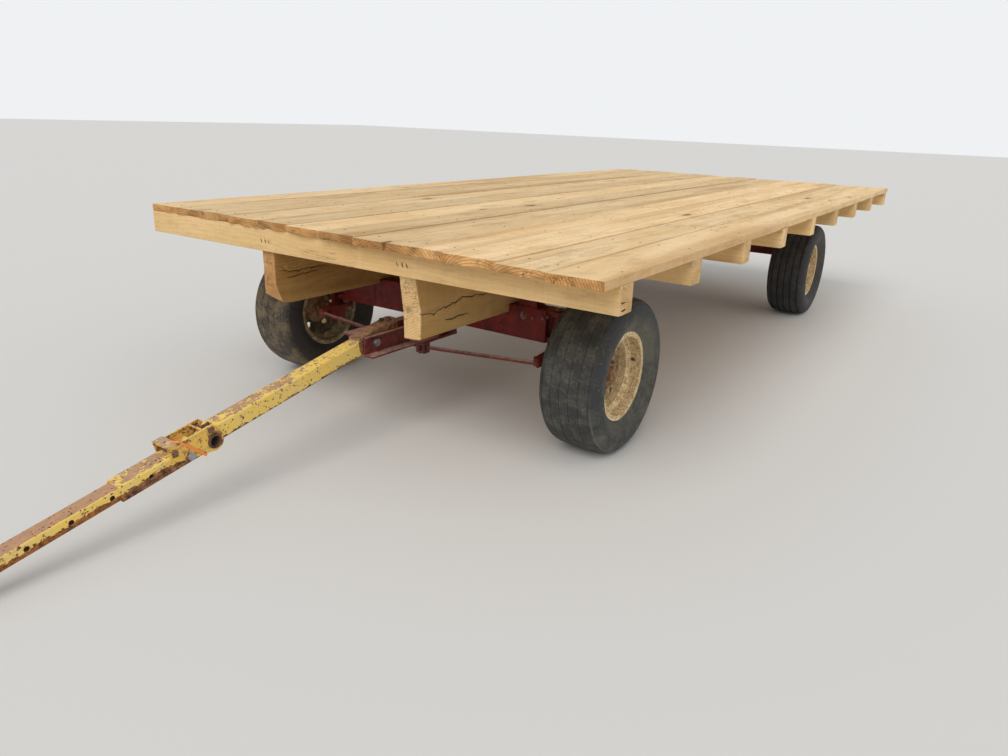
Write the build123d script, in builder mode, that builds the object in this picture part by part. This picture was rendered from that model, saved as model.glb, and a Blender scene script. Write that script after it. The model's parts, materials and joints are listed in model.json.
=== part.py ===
from build123d import *
import math
import os

# Four-wheel hay wagon: a plank deck on cross joists and two sills, over a running gear that is
# steered by its tongue. Millimetres. X is forward, Y to the wagon's left, Z up from the ground.
# The origin is the middle of the footprint, on the ground.

# Deck
deck_width = 2440.0
board_thick = 31.0
board_gap = 4.0
joist_count = 9
joist_pitch = 612.0
joist_thick = 89.0
joist_deep = 96.0
rear_overhang = 58.0

# Sills
sill_thick = 64.0
sill_deep_left = 252.0
sill_deep_right = 237.0
sill_spacing = 780.0
sill_notch = 33.0
sill_rear_inset = 20.0

# Running gear: heights are taken from the axle line
gear_offset = -52.0
sill_top_over_axle = 452.0
wheelbase = 3280.0
front_axle_back = 732.0
track = 1760.0
beam_wide = 96.0
beam_deep = 145.0
beam_wall = 9.0
rear_beam_half = 700.0
kingpin_half = 655.0
kingpin_radius = 17.0

# Wheels
tyre_radius = 341.0
tyre_wide = 280.0
tyre_wall = 13.0
rim_flange_radius = 195.5
rim_bead_radius = 178.0
rim_well_radius = 154.0
rim_wide = 200.0
rim_gauge = 5.0
hub_radius = 44.0
hub_cap_radius = 33.0
stub_radius = 21.0
bolt_circle_radius = 66.0

# Tongue and its carrier
pivot_back = 214.0
pivot_over_axle = 87.0
tongue_reach = 1917.0
tube_wide = 66.0
tube_high = 70.0
tube_wall = 5.0
boss_along = 843.0
boss_drop = 15.0
fold_gap = 5.0
sleeve_high = 64.0
sleeve_wall = 6.0
sleeve_start = 903.0
sleeve_end = 1200.0
inner_wide = 62.0
inner_high = 50.0
inner_wall = 6.0
inner_start = 1041.0
hole_pitch = 136.0
first_hole = 1090.0
hole_radius = 9.0
ear_thick = 12.0
ear_wide = 62.0
hitch_hole_radius = 13.5
cheek_high = 85.0
cheek_over_axle = 120.0
tie_ahead = 170.0
tie_inner_over_axle = -21.0
tie_outer_over_axle = 32.0
tie_radius = 9.0

# Clearances
seat = 0.3
running = 0.05
side_play = 5.0

# Worked-out heights
wheel_up = tyre_radius
sill_top = wheel_up + sill_top_over_axle
deck_under = sill_top + joist_deep
beam_top = sill_top - sill_deep_left + sill_notch - seat
beam_under = beam_top - beam_deep
pivot_up = wheel_up + pivot_over_axle
cheek_top = wheel_up + cheek_over_axle
tie_inner_up = wheel_up + tie_inner_over_axle
tie_outer_up = wheel_up + tie_outer_over_axle

# The sleeve is wider than the folding tube, so that the tube's end turns between the hinge plates.
sleeve_wide = tube_wide + 2 * fold_gap

# The tongue slopes down until the lower ear of its clevis touches the ground.
ear_low = boss_drop + inner_high / 2 + ear_thick
slope = math.asin(pivot_up / math.hypot(tongue_reach, ear_low)) - math.atan2(ear_low, tongue_reach)
ear_high = ear_thick + inner_high / 2 - boss_drop
deck_back = (joist_count - 1) * joist_pitch + joist_thick + rear_overhang
tip_ahead = tongue_reach * math.cos(slope) + ear_high * math.sin(slope) - pivot_back
beam_face = (deck_back - tip_ahead) / 2

front_axle = beam_face - front_axle_back
rear_axle = front_axle - wheelbase
wheel_half = track / 2

os.makedirs("parts", exist_ok=True)


def save(piece, name):
    """Label a finished piece and write it under its own name."""
    piece.part.label = name
    export_step(piece.part, f"parts/{name}.step")


def across(x):
    """A plane facing forward at x: its own x runs to the wagon's left, its own y up."""
    return Plane(origin=(x, 0, 0), x_dir=(0, 1, 0), z_dir=(1, 0, 0))


def lengthways(y):
    """A plane facing right at y: its own x runs forward, its own y up."""
    return Plane(origin=(0, y, 0), x_dir=(1, 0, 0), z_dir=(0, -1, 0))


tongue_root = (beam_face - pivot_back, gear_offset, pivot_up)
tongue_way = (math.cos(slope), 0, -math.sin(slope))


def tongue_side(shift=0.0):
    """Side view of the tongue, its own x along it and its own y square to it. Extrudes to the right."""
    origin = (tongue_root[0], gear_offset + shift, pivot_up)
    return Plane(origin=origin, x_dir=tongue_way, z_dir=(0, -1, 0))


def tongue_cut(along, up=0.0):
    """Cross section of the tongue at a distance along it. Extrudes towards the hitch."""
    x = tongue_root[0] + along * math.cos(slope) + up * math.sin(slope)
    z = pivot_up - along * math.sin(slope) + up * math.cos(slope)
    return Plane(origin=(x, gear_offset, z), x_dir=(0, 1, 0), z_dir=tongue_way)


def tongue_flat(along, up=0.0):
    """A plane along the tongue and square to its sides, at a distance along it. Extrudes upwards."""
    middle = tongue_cut(along, up).origin
    return Plane(origin=middle, x_dir=tongue_way, z_dir=(math.sin(slope), 0, math.cos(slope)))


# Deck boards, from the wagon's right to its left: width, and how far the front end passes the beam
boards = (
    (190, 2), (190, 6), (190, 4), (190, 14), (190, 10), (210, 26),
    (190, 40), (270, 52), (180, 66), (230, 84), (200, 100), (210, 120),
)
board_scale = deck_width / sum(width for width, ahead in boards)

with BuildPart() as deck_boards:
    edge = -deck_width / 2
    for width, ahead in boards:
        wide = width * board_scale
        length = deck_back + ahead
        with BuildSketch(Plane.XY.offset(deck_under)):
            with Locations((beam_face + ahead - length / 2, edge + wide / 2)):
                Rectangle(length, wide - board_gap)
        extrude(amount=board_thick)
        edge += wide
save(deck_boards, "deck_boards")

# Cross joists, the first of which is the front beam
with BuildPart() as cross_joists:
    with BuildSketch(lengthways(deck_width / 2)):
        for number in range(joist_count):
            with Locations((beam_face - joist_thick / 2 - number * joist_pitch, sill_top + joist_deep / 2)):
                Rectangle(joist_thick, joist_deep)
    extrude(amount=deck_width)
save(cross_joists, "cross_joists")

# Sills: rough front ends sawn askew, notched over both axle beams
sill_back = beam_face - (joist_count - 1) * joist_pitch - joist_thick + sill_rear_inset
sill_middle = sill_top - 0.57 * sill_deep_left
# name; side: +1 left, -1 right; depth; then for the inner and the outer face how far the end is cut back
# at its top, its middle, its foot and its underside, and how high the foot stands over the underside
sills = (
    ("left", 1, sill_deep_left, (14.0, 38.0, 41.0, 44.0, 6.0), (33.0, 67.0, 64.0, 60.0, 6.0)),
    ("right", -1, sill_deep_right, (29.0, 30.0, 64.0, 110.0, 8.0), (23.0, 20.0, 22.0, 130.0, 46.0)),
)
for name, side, deep, inner_end, outer_end in sills:
    middle = gear_offset + side * sill_spacing / 2
    under = sill_top - deep
    with BuildPart() as sill:
        for way, end in ((-side, inner_end), (side, outer_end)):
            top_cut, middle_cut, foot_cut, under_cut, foot_rise = end
            with BuildSketch(lengthways(middle + way * sill_thick / 2)):
                with BuildLine():
                    Polyline(
                        (beam_face - top_cut, sill_top),
                        (beam_face - middle_cut, sill_middle),
                        (beam_face - foot_cut, under + foot_rise),
                        (beam_face - under_cut, under),
                        (sill_back, under),
                        (sill_back, sill_top),
                        close=True,
                    )
                make_face()
        loft(ruled=True)
        with BuildSketch(lengthways(middle + sill_thick)):
            for axle in (front_axle, rear_axle):
                with Locations((axle, under)):
                    Rectangle(beam_wide + 2 * side_play, 2 * (beam_top + seat - under))
        extrude(amount=2 * sill_thick, mode=Mode.SUBTRACT)
    save(sill, f"sill_{name}")

# Axle beams: boxes of rolled steel, the front one with sleeved ends that carry a yoke each
eye_radius = 42.0
yoke_thick = 24.0
yoke_back = 12.0
collar_start = 400.0
collar_proud = 3.0
collar_end = kingpin_half - eye_radius - yoke_back
beam_ends = (("front_axle_beam", front_axle, collar_end), ("rear_axle_beam", rear_axle, rear_beam_half))
for name, axle, half in beam_ends:
    with BuildPart() as beam:
        with BuildSketch(lengthways(gear_offset + half)):
            with Locations((axle, beam_under + beam_deep / 2)):
                Rectangle(beam_wide, beam_deep)
                Rectangle(beam_wide - 2 * beam_wall, beam_deep - 2 * beam_wall, mode=Mode.SUBTRACT)
        extrude(amount=2 * half)
        if name == "front_axle_beam":
            for side in (1, -1):
                pin = gear_offset + side * kingpin_half
                sleeve = gear_offset + side * (collar_start + collar_end) / 2
                # Sleeve over the beam's end, proud in front and behind, and the yoke's back
                with BuildSketch(Plane.XY.offset(beam_under)):
                    for face in (1, -1):
                        with Locations((axle + face * (beam_wide + collar_proud) / 2, sleeve)):
                            Rectangle(collar_proud, collar_end - collar_start)
                    with Locations((axle, pin - side * (eye_radius + yoke_back / 2))):
                        Rectangle(beam_wide + 2 * collar_proud, yoke_back)
                extrude(amount=beam_deep)
                # Upper and lower yoke plates with the kingpin's eye
                for level in (beam_under, beam_top - yoke_thick):
                    with BuildSketch(Plane.XY.offset(level)):
                        with Locations((axle, pin - side * eye_radius / 2)):
                            Rectangle(2 * eye_radius, eye_radius)
                        with Locations((axle, pin)):
                            Circle(eye_radius)
                            Circle(kingpin_radius + running, mode=Mode.SUBTRACT)
                    extrude(amount=yoke_thick)
    save(beam, name)

# Stakes that keep the sills on the beams: a front plate with a flared foot, a side plate behind it
# and a low gusset along the beam
stake_gap = 47.0
stake_thick = 10.0
stake_foot_wide = 95.0
stake_waist_wide = 77.0
stake_top_wide = 64.0
stake_waist_up = 48.0
gusset_long = 132.0
gusset_high = 30.0
for name, axle, side in (
    ("front_stake_left", front_axle, 1),
    ("front_stake_right", front_axle, -1),
    ("rear_stake_left", rear_axle, 1),
    ("rear_stake_right", rear_axle, -1),
):
    inside = gear_offset + side * (sill_spacing / 2 + sill_thick / 2 + stake_gap)
    with BuildPart() as stake:
        with BuildSketch(across(axle + beam_wide / 2 - stake_thick)):
            with BuildLine():
                Polyline(
                    (inside, beam_top),
                    (inside + side * stake_foot_wide, beam_top),
                    (inside + side * stake_waist_wide, beam_top + stake_waist_up),
                    (inside + side * stake_top_wide, sill_top - seat),
                    (inside, sill_top - seat),
                    close=True,
                )
            make_face()
        extrude(amount=stake_thick)
        with BuildSketch(across(axle - stake_thick / 2)):
            with BuildLine():
                Polyline(
                    (inside, beam_top),
                    (inside + side * gusset_long, beam_top),
                    (inside + side * stake_waist_wide, beam_top + gusset_high),
                    (inside, beam_top + gusset_high),
                    close=True,
                )
            make_face()
        extrude(amount=stake_thick)
        with BuildSketch(lengthways(inside + (stake_thick if side > 0 else 0))):
            with BuildLine():
                Polyline(
                    (axle + beam_wide / 2, beam_top),
                    (axle - beam_wide / 2, beam_top),
                    (axle - beam_wide / 4, sill_top - seat),
                    (axle + beam_wide / 2, sill_top - seat),
                    close=True,
                )
            make_face()
        extrude(amount=stake_thick)
    save(stake, name)

# Reach: a square pole in two lengths, the rear one sliding in the front one
reach_wide = 82.0
reach_wall = 6.0
reach_over_beam_foot = 60.0
reach_play = 1.0
reach_lap = 300.0
reach_up = beam_under + reach_over_beam_foot
reach_joint = front_axle - 0.55 * wheelbase
inner_reach = reach_wide - 2 * reach_wall - reach_play
with BuildPart() as reach_front:
    with BuildSketch(across(reach_joint)):
        with Locations((gear_offset, reach_up)):
            Rectangle(reach_wide, reach_wide)
            Rectangle(reach_wide - 2 * reach_wall, reach_wide - 2 * reach_wall, mode=Mode.SUBTRACT)
    extrude(amount=front_axle - beam_wide / 2 - reach_joint)
save(reach_front, "reach_front")
with BuildPart() as reach_rear:
    with BuildSketch(across(rear_axle + beam_wide / 2)):
        with Locations((gear_offset, reach_up)):
            Rectangle(inner_reach, inner_reach)
            Rectangle(inner_reach - 2 * reach_wall, inner_reach - 2 * reach_wall, mode=Mode.SUBTRACT)
    extrude(amount=reach_joint + reach_lap - rear_axle - beam_wide / 2)
save(reach_rear, "reach_rear")

# Reach braces: two flat bars that run from the rear beam in under the reach
brace_wide = 60.0
brace_thick = 10.0
brace_half = 430.0
brace_run = 900.0
brace_start = rear_axle + beam_wide / 2
brace_end = brace_start + brace_run
for name, side in (("left", 1), ("right", -1)):
    middle = gear_offset + side * seat / 2
    with BuildPart() as reach_brace:
        with BuildSketch(Plane.XY.offset(reach_up - inner_reach / 2 - brace_thick)):
            with BuildLine():
                Polyline(
                    (brace_start, gear_offset + side * brace_half),
                    (brace_start, gear_offset + side * (brace_half - brace_wide)),
                    (brace_end - brace_wide, middle),
                    (brace_end, middle),
                    (brace_end, gear_offset + side * inner_reach / 2),
                    (brace_end - brace_wide, gear_offset + side * inner_reach / 2),
                    close=True,
                )
            make_face()
        extrude(amount=brace_thick)
    save(reach_brace, f"reach_brace_{name}")

# Steering post: a spacer under the front beam with the pin that the carrier swings on
plate_thick = 10.0
plate_top = cheek_top - cheek_high
post_radius = 38.0
pin_radius = 18.0
pin_head = 26.0
pin_head_deep = 12.0
with BuildPart() as steering_post:
    with BuildSketch(Plane.XY.offset(plate_top + seat)):
        with Locations((front_axle, gear_offset)):
            Circle(post_radius)
    extrude(amount=beam_under - plate_top - seat)
    with BuildSketch(Plane.XY.offset(plate_top - plate_thick - seat)):
        with Locations((front_axle, gear_offset)):
            Circle(pin_radius)
    extrude(amount=plate_thick + 2 * seat)
    with BuildSketch(Plane.XY.offset(plate_top - plate_thick - seat)):
        with Locations((front_axle, gear_offset)):
            Circle(pin_head)
    extrude(amount=-pin_head_deep)
save(steering_post, "steering_post")

# Wheel stations: name, axle, side
stations = (
    ("front_left", front_axle, 1),
    ("front_right", front_axle, -1),
    ("rear_left", rear_axle, 1),
    ("rear_right", rear_axle, -1),
)
# Half profiles of one wheel: distance outwards from its middle, radius
shoulder = tyre_wide / 2
flange = rim_wide / 2
bead_out = flange - rim_gauge - seat
bead_up = rim_bead_radius + seat
# Outside, from the tread's edge over the rounded shoulder and the widest point down to the flange
tyre_outside = (
    (0.66 * shoulder, 0.984 * tyre_radius),
    (0.80 * shoulder, 0.967 * tyre_radius),
    (0.885 * shoulder, 0.935 * tyre_radius),
    (shoulder, 0.775 * tyre_radius),
    (flange + 3, rim_flange_radius + 4),
)
# Inside, from the bead up to the crown
tyre_inside = (
    (bead_out, bead_up),
    (bead_out - tyre_wall, bead_up),
    (0.97 * shoulder - tyre_wall, 0.775 * tyre_radius),
    (0.80 * shoulder - tyre_wall, 0.95 * tyre_radius - tyre_wall),
    (0, tyre_radius - 1.3 * tyre_wall),
)
hand_hole_radius = 15.0
hand_hole_circle = 112.0
hand_hole_count = 6
stud_radius = 6.0
nut_radius = 10.2
nut_high = 12.0
step_radius = rim_bead_radius - 2
step_out = 0.55 * flange
well_out = 0.40 * flange
well_in = -0.35 * flange
step_in = -0.50 * flange
hub_inner = -flange
hub_face = 2.0
disc_thick = 8.0
disc_dish = 14.0
disc_fall = 4.0
disc_flat_radius = 86.0
disc_crest_radius = 106.0
hub_outer = 58.0
hub_neck = 38.0
hub_flange_radius = 86.0
hub_flange_thick = 8.0
hub_shoulder = -20.0
cap_long = 24.0
cap_edge = 4.0
spindle_end = hub_outer - 22.0
spindle_shoulder = hub_inner - 6.0
first_stud = 30.0


def wheel_plane(axle, side):
    """A plane through a wheel's axle line: its own x runs outwards, its own y up."""
    middle = (axle, gear_offset + side * wheel_half, wheel_up)
    return Plane(origin=middle, x_dir=(0, side, 0), z_dir=(side, 0, 0))


def outward_plane(axle, side, out):
    """A plane facing out of a wheel, at a distance outwards from its middle."""
    place = (axle, gear_offset + side * (wheel_half + out), wheel_up)
    return Plane(origin=place, x_dir=(1, 0, 0), z_dir=(0, side, 0))


def turn_axis(axle, side):
    """The line that a wheel turns on."""
    return Axis((axle, gear_offset + side * wheel_half, wheel_up), (0, side, 0))


for name, axle, side in stations:
    with BuildPart() as tyre:
        with BuildSketch(wheel_plane(axle, side)):
            with BuildLine():
                for way in (1, -1):
                    edge, turn, end, bulge, start = [(way * out, radius) for out, radius in tyre_outside]
                    Polyline((0, tyre_radius), edge)
                    ThreePointArc(edge, turn, end)
                    ThreePointArc(end, bulge, start)
                    Polyline(start, (way * bead_out, start[1] - 2), (way * bead_out, bead_up))
                    Polyline(*[(way * out, radius) for out, radius in tyre_inside])
            make_face()
        revolve(axis=turn_axis(axle, side))
    save(tyre, f"tyre_{name}")

    with BuildPart() as rim:
        with BuildSketch(wheel_plane(axle, side)):
            with BuildLine():
                Polyline(
                    (flange, rim_flange_radius),
                    (flange - rim_gauge, rim_flange_radius),
                    (flange - rim_gauge, rim_bead_radius),
                    (step_out, step_radius),
                    (well_out, rim_well_radius),
                    (well_in, rim_well_radius),
                    (step_in, step_radius),
                    (-flange + rim_gauge, rim_bead_radius),
                    (-flange + rim_gauge, rim_flange_radius),
                    (-flange, rim_flange_radius),
                    (-flange, rim_bead_radius - rim_gauge),
                    (step_in, step_radius - rim_gauge),
                    (well_in, rim_well_radius - rim_gauge),
                    (well_out, rim_well_radius - rim_gauge),
                    (step_out, step_radius - rim_gauge),
                    (flange, rim_bead_radius - rim_gauge),
                    close=True,
                )
            make_face()
            with BuildLine():
                Polyline(
                    (hub_face, hub_radius + seat),
                    (hub_face, disc_flat_radius + disc_fall),
                    (hub_face + disc_dish, disc_crest_radius),
                    (hub_face - disc_fall, rim_well_radius - rim_gauge + 1),
                    (hub_face - disc_fall + disc_thick, rim_well_radius - rim_gauge + 1),
                    (hub_face + disc_dish + disc_thick, disc_crest_radius),
                    (hub_face + disc_thick, disc_flat_radius),
                    (hub_face + disc_thick, hub_radius + seat),
                    close=True,
                )
            make_face()
        revolve(axis=turn_axis(axle, side))
        with BuildSketch(outward_plane(axle, side, hub_face - 2 * disc_dish)):
            with PolarLocations(hand_hole_circle, hand_hole_count):
                Circle(hand_hole_radius)
            with PolarLocations(bolt_circle_radius, hand_hole_count, start_angle=first_stud):
                Circle(stud_radius + running)
        extrude(amount=4 * disc_dish, mode=Mode.SUBTRACT)
    save(rim, f"rim_{name}")

    with BuildPart() as hub:
        with BuildSketch(wheel_plane(axle, side)):
            with BuildLine():
                Polyline(
                    (hub_inner, stub_radius + running),
                    (hub_inner, hub_neck),
                    (hub_shoulder, hub_neck),
                    (hub_face - hub_flange_thick, hub_flange_radius),
                    (hub_face - seat, hub_flange_radius),
                    (hub_face - seat, hub_radius),
                    (hub_outer - cap_long, hub_radius),
                    (hub_outer - cap_long, hub_cap_radius),
                    (hub_outer - cap_edge, hub_cap_radius),
                    (hub_outer, hub_cap_radius - cap_edge),
                    (hub_outer, 0),
                    (spindle_end + 2, 0),
                    (spindle_end + 2, stub_radius + running),
                    close=True,
                )
            make_face()
        revolve(axis=turn_axis(axle, side))
        # Studs and nuts against the disc
        with BuildSketch(outward_plane(axle, side, hub_face + disc_thick)):
            with PolarLocations(bolt_circle_radius, hand_hole_count, start_angle=first_stud):
                RegularPolygon(nut_radius, 6)
        extrude(amount=nut_high)
        with BuildSketch(outward_plane(axle, side, hub_face - disc_thick)):
            with PolarLocations(bolt_circle_radius, hand_hole_count, start_angle=first_stud):
                Circle(stud_radius)
        extrude(amount=2 * disc_thick + nut_high + stud_radius)
    save(hub, f"hub_{name}")

# Knuckles: a boss inside the yoke, a drop wall outside it, the stub axle and an arm to the tie rod
boss_radius = 34.0
boss_gap = 3.0
web_wide = 60.0
wall_wide = 80.0
wall_corner = 6.0
wall_out = eye_radius + 8.0
wall_thick = 24.0
stub_root_radius = 30.0
arm_thick = 16.0
collar_radius = 36.0
arm_waist = 15.0
rod_pin_radius = 8.0
rod_eye_radius = 20.0
pin_head_radius = 24.0
pin_head_thick = 8.0
boss_under = beam_under + yoke_thick + boss_gap
boss_top = beam_top - yoke_thick - boss_gap
knuckle_under = wheel_up - 44.0
arm_under = tie_outer_up + tie_radius + 2.0
for name, side in (("left", 1), ("right", -1)):
    pin = gear_offset + side * kingpin_half
    wall_middle = pin + side * (wall_out + wall_thick / 2)
    eye = (front_axle + tie_ahead, pin)
    with BuildPart() as knuckle:
        # Boss and its web
        with BuildSketch(Plane.XY.offset(boss_under)):
            with Locations((front_axle, pin)):
                Circle(boss_radius)
            with Locations((front_axle, (pin + wall_middle) / 2)):
                Rectangle(web_wide, wall_out + wall_thick / 2)
        extrude(amount=boss_top - boss_under)
        # Drop wall
        with BuildSketch(Plane.XY.offset(knuckle_under)):
            with Locations((front_axle, wall_middle)):
                RectangleRounded(wall_wide, wall_thick, wall_corner)
        extrude(amount=boss_top - knuckle_under)
        # Stub axle
        with BuildSketch(wheel_plane(front_axle, side)):
            with BuildLine():
                Polyline(
                    (side * (wall_middle - gear_offset) - wheel_half, 0),
                    (side * (wall_middle - gear_offset) - wheel_half, stub_root_radius),
                    (spindle_shoulder, stub_root_radius),
                    (spindle_shoulder, stub_radius),
                    (spindle_end, stub_radius),
                    (spindle_end, 0),
                    close=True,
                )
            make_face()
        revolve(axis=turn_axis(front_axle, side))
        # Collar under the yoke and the arm that tapers forward to the tie rod
        with BuildSketch(Plane.XY.offset(arm_under)):
            with Locations((front_axle, pin)):
                Circle(collar_radius)
            with Locations((front_axle, (pin + wall_middle) / 2)):
                Rectangle(web_wide, wall_out + wall_thick / 2)
            with BuildLine():
                Polyline(
                    (front_axle, pin - collar_radius),
                    (front_axle, pin + collar_radius),
                    (eye[0], pin + arm_waist),
                    (eye[0], pin - arm_waist),
                    close=True,
                )
            make_face()
            with Locations(eye):
                Circle(rod_eye_radius)
        extrude(amount=arm_thick)
        # Tie rod pin
        with BuildSketch(Plane.XY.offset(tie_outer_up - tie_radius - rod_pin_radius)):
            with Locations(eye):
                Circle(rod_pin_radius)
        extrude(amount=arm_under - tie_outer_up + tie_radius + rod_pin_radius)
        # Kingpin hole
        with BuildSketch(Plane.XY.offset(arm_under)):
            with Locations((front_axle, pin)):
                Circle(kingpin_radius)
        extrude(amount=boss_top - arm_under, mode=Mode.SUBTRACT)
    save(knuckle, f"knuckle_{name}")

    with BuildPart() as kingpin:
        with BuildSketch(Plane.XY.offset(arm_under)):
            with Locations((front_axle, pin)):
                Circle(kingpin_radius)
        extrude(amount=beam_top + seat - arm_under)
        for level in (beam_top + seat, arm_under - pin_head_thick):
            with BuildSketch(Plane.XY.offset(level)):
                with Locations((front_axle, pin)):
                    Circle(pin_head_radius)
            extrude(amount=pin_head_thick)
    save(kingpin, f"kingpin_{name}")

# Rear spindles: drop plates on the beam's ends with fixed stub axles
for name, side in (("left", 1), ("right", -1)):
    plate_middle = gear_offset + side * (rear_beam_half + wall_thick / 2)
    with BuildPart() as rear_spindle:
        with BuildSketch(Plane.XY.offset(knuckle_under)):
            with Locations((rear_axle, plate_middle)):
                Rectangle(beam_wide, wall_thick)
        extrude(amount=beam_top - knuckle_under)
        with BuildSketch(wheel_plane(rear_axle, side)):
            with BuildLine():
                Polyline(
                    (rear_beam_half + wall_thick / 2 - wheel_half, 0),
                    (rear_beam_half + wall_thick / 2 - wheel_half, stub_root_radius),
                    (spindle_shoulder, stub_root_radius),
                    (spindle_shoulder, stub_radius),
                    (spindle_end, stub_radius),
                    (spindle_end, 0),
                    close=True,
                )
            make_face()
        revolve(axis=turn_axis(rear_axle, side))
    save(rear_spindle, f"rear_spindle_{name}")

# Tongue carrier: two rolled cheeks on a swivel plate
cheek_play = 5.0
cheek_gap = tube_wide + 2 * cheek_play
cheek_web = 8.0
cheek_foot = 52.0
cheek_front = beam_face - 147.0
cheek_back = front_axle + 130.0
pivot_radius = 12.0
# side: +1 left, -1 right; how far the top flange reaches out
for name, side, cheek_lip in (("left", 1, 18.0), ("right", -1, 46.0)):
    with BuildPart() as cheek:
        with BuildSketch(across(cheek_back)):
            with BuildLine():
                web_in = gear_offset + side * cheek_gap / 2
                web_out = web_in + side * cheek_web
                lip = web_in + side * cheek_lip
                foot = web_in + side * cheek_foot
                Polyline(
                    (web_in, cheek_top),
                    (lip, cheek_top),
                    (lip, cheek_top - cheek_web),
                    (web_out, cheek_top - cheek_web),
                    (web_out, plate_top + cheek_web),
                    (foot, plate_top + cheek_web),
                    (foot, plate_top),
                    (web_in, plate_top),
                    close=True,
                )
            make_face()
        extrude(amount=cheek_front - cheek_back)
        with BuildSketch(lengthways(gear_offset + cheek_gap)):
            with Locations((tongue_root[0], pivot_up)):
                Circle(pivot_radius + running)
        extrude(amount=2 * cheek_gap, mode=Mode.SUBTRACT)
    save(cheek, f"carrier_cheek_{name}")

# Swivel plate under the cheeks, with the pin that both tie rods share
swivel_radius = 70.0
carrier_wide = cheek_gap + 2 * cheek_foot
plate_front = front_axle + tie_ahead + 40.0
fork_gap = tie_radius + 5.0
fork_thick = 10.0
shared_pin_under = tie_inner_up - fork_gap - fork_thick - rod_pin_radius
with BuildPart() as swivel_plate:
    with BuildSketch(Plane.XY.offset(plate_top - plate_thick)):
        with Locations((front_axle, gear_offset)):
            Circle(swivel_radius)
        with Locations(((front_axle + plate_front) / 2, gear_offset)):
            Rectangle(plate_front - front_axle, carrier_wide)
        with Locations((front_axle, gear_offset)):
            Circle(pin_radius + running, mode=Mode.SUBTRACT)
    extrude(amount=plate_thick)
    with BuildSketch(Plane.XY.offset(shared_pin_under)):
        with Locations((front_axle + tie_ahead, gear_offset)):
            Circle(rod_pin_radius)
    extrude(amount=plate_top - plate_thick - shared_pin_under)
save(swivel_plate, "swivel_plate")

# Pivot bolt that the tongue hangs on
pivot_head_radius = 18.0
pivot_head_thick = 14.0
cheek_outside = cheek_gap / 2 + cheek_web
with BuildPart() as pivot_bolt:
    with BuildSketch(lengthways(gear_offset + cheek_outside)):
        with Locations((tongue_root[0], pivot_up)):
            Circle(pivot_radius)
    extrude(amount=2 * cheek_outside)
    for side in (1, -1):
        with BuildSketch(lengthways(gear_offset + side * cheek_outside)):
            with Locations((tongue_root[0], pivot_up)):
                RegularPolygon(pivot_head_radius, 6)
        extrude(amount=-side * pivot_head_thick)
save(pivot_bolt, "pivot_bolt")

# Tie rods: the left one ends in a fork round the right one's inner eye, on the shared pin
fork_clear = rod_eye_radius + 7.0
fork_block = 16.0
for name, side in (("left", 1), ("right", -1)):
    inner = (front_axle + tie_ahead, gear_offset, tie_inner_up)
    outer = (front_axle + tie_ahead, gear_offset + side * kingpin_half, tie_outer_up)
    way = (Vector(*outer) - Vector(*inner)).normalized()
    start = Vector(*inner) + way * (fork_clear + fork_block / 2 if side > 0 else 0)
    with BuildPart() as tie_rod:
        with BuildSketch(Plane(origin=start, z_dir=way)):
            Circle(tie_radius)
        extrude(amount=(Vector(*outer) - start).length)
        # Outer eye, and the right rod's inner one
        for end in (outer,) if side > 0 else (outer, inner):
            with BuildSketch(Plane.XY.offset(end[2] - tie_radius)):
                with Locations(end[:2]):
                    Circle(rod_eye_radius)
            extrude(amount=2 * tie_radius)
        if side > 0:
            # The fork's two ears and the block that joins them
            for level in (fork_gap, -fork_gap - fork_thick):
                with BuildSketch(Plane.XY.offset(tie_inner_up + level)):
                    with Locations(inner[:2]):
                        Circle(rod_eye_radius)
                    with Locations((inner[0], inner[1] + (fork_clear + fork_block) / 2)):
                        Rectangle(2 * rod_eye_radius, fork_clear + fork_block)
                extrude(amount=fork_thick)
            with BuildSketch(Plane.XY.offset(tie_inner_up - fork_gap - fork_thick)):
                with Locations((inner[0], inner[1] + fork_clear + fork_block / 2)):
                    Rectangle(2 * rod_eye_radius, fork_block)
            extrude(amount=2 * fork_gap + 2 * fork_thick)
        for end in (inner, outer):
            with BuildSketch(Plane.XY.offset(end[2] - 2 * rod_eye_radius)):
                with Locations(end[:2]):
                    Circle(rod_pin_radius + running)
            extrude(amount=4 * rod_eye_radius, mode=Mode.SUBTRACT)
    save(tie_rod, f"tie_rod_{name}")

# Rear tongue tube, from its tail behind the pivot bolt to the hinge pipe
tail_back = 158.0
tube_corner = 11.0
knuckle_round = 34.0
knuckle_start = boss_along - 120.0
knuckle_crest = boss_along - 22.0
pipe_radius = 27.0
pipe_bore = 19.0
with BuildPart() as tongue_tube_rear:
    with BuildSketch(tongue_cut(-tail_back)):
        RectangleRounded(tube_wide, tube_high, tube_corner)
        RectangleRounded(
            tube_wide - 2 * tube_wall, tube_high - 2 * tube_wall, tube_corner - tube_wall, mode=Mode.SUBTRACT
        )
    extrude(amount=tail_back + knuckle_start + tube_corner)
    with BuildSketch(tongue_cut(knuckle_start)):
        RectangleRounded(tube_wide, tube_high, tube_corner)
    extrude(amount=knuckle_crest - knuckle_start)
    with BuildSketch(tongue_side(tube_wide / 2 - tube_corner / 4)):
        with BuildLine():
            Polyline(
                (knuckle_crest, -tube_high / 2),
                (knuckle_crest, tube_high / 2 - 2),
                (boss_along + 0.64 * knuckle_round, 0.77 * knuckle_round - boss_drop),
                (boss_along, -boss_drop - knuckle_round),
                close=True,
            )
        make_face()
        with Locations((boss_along, -boss_drop)):
            Circle(knuckle_round)
    extrude(amount=tube_wide - tube_corner / 2)
    with BuildSketch(tongue_side(tube_wide)):
        with Locations((boss_along, -boss_drop)):
            Circle(pipe_radius + running)
        Circle(pivot_radius + running)
    extrude(amount=2 * tube_wide, mode=Mode.SUBTRACT)
save(tongue_tube_rear, "tongue_tube_rear")

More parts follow.
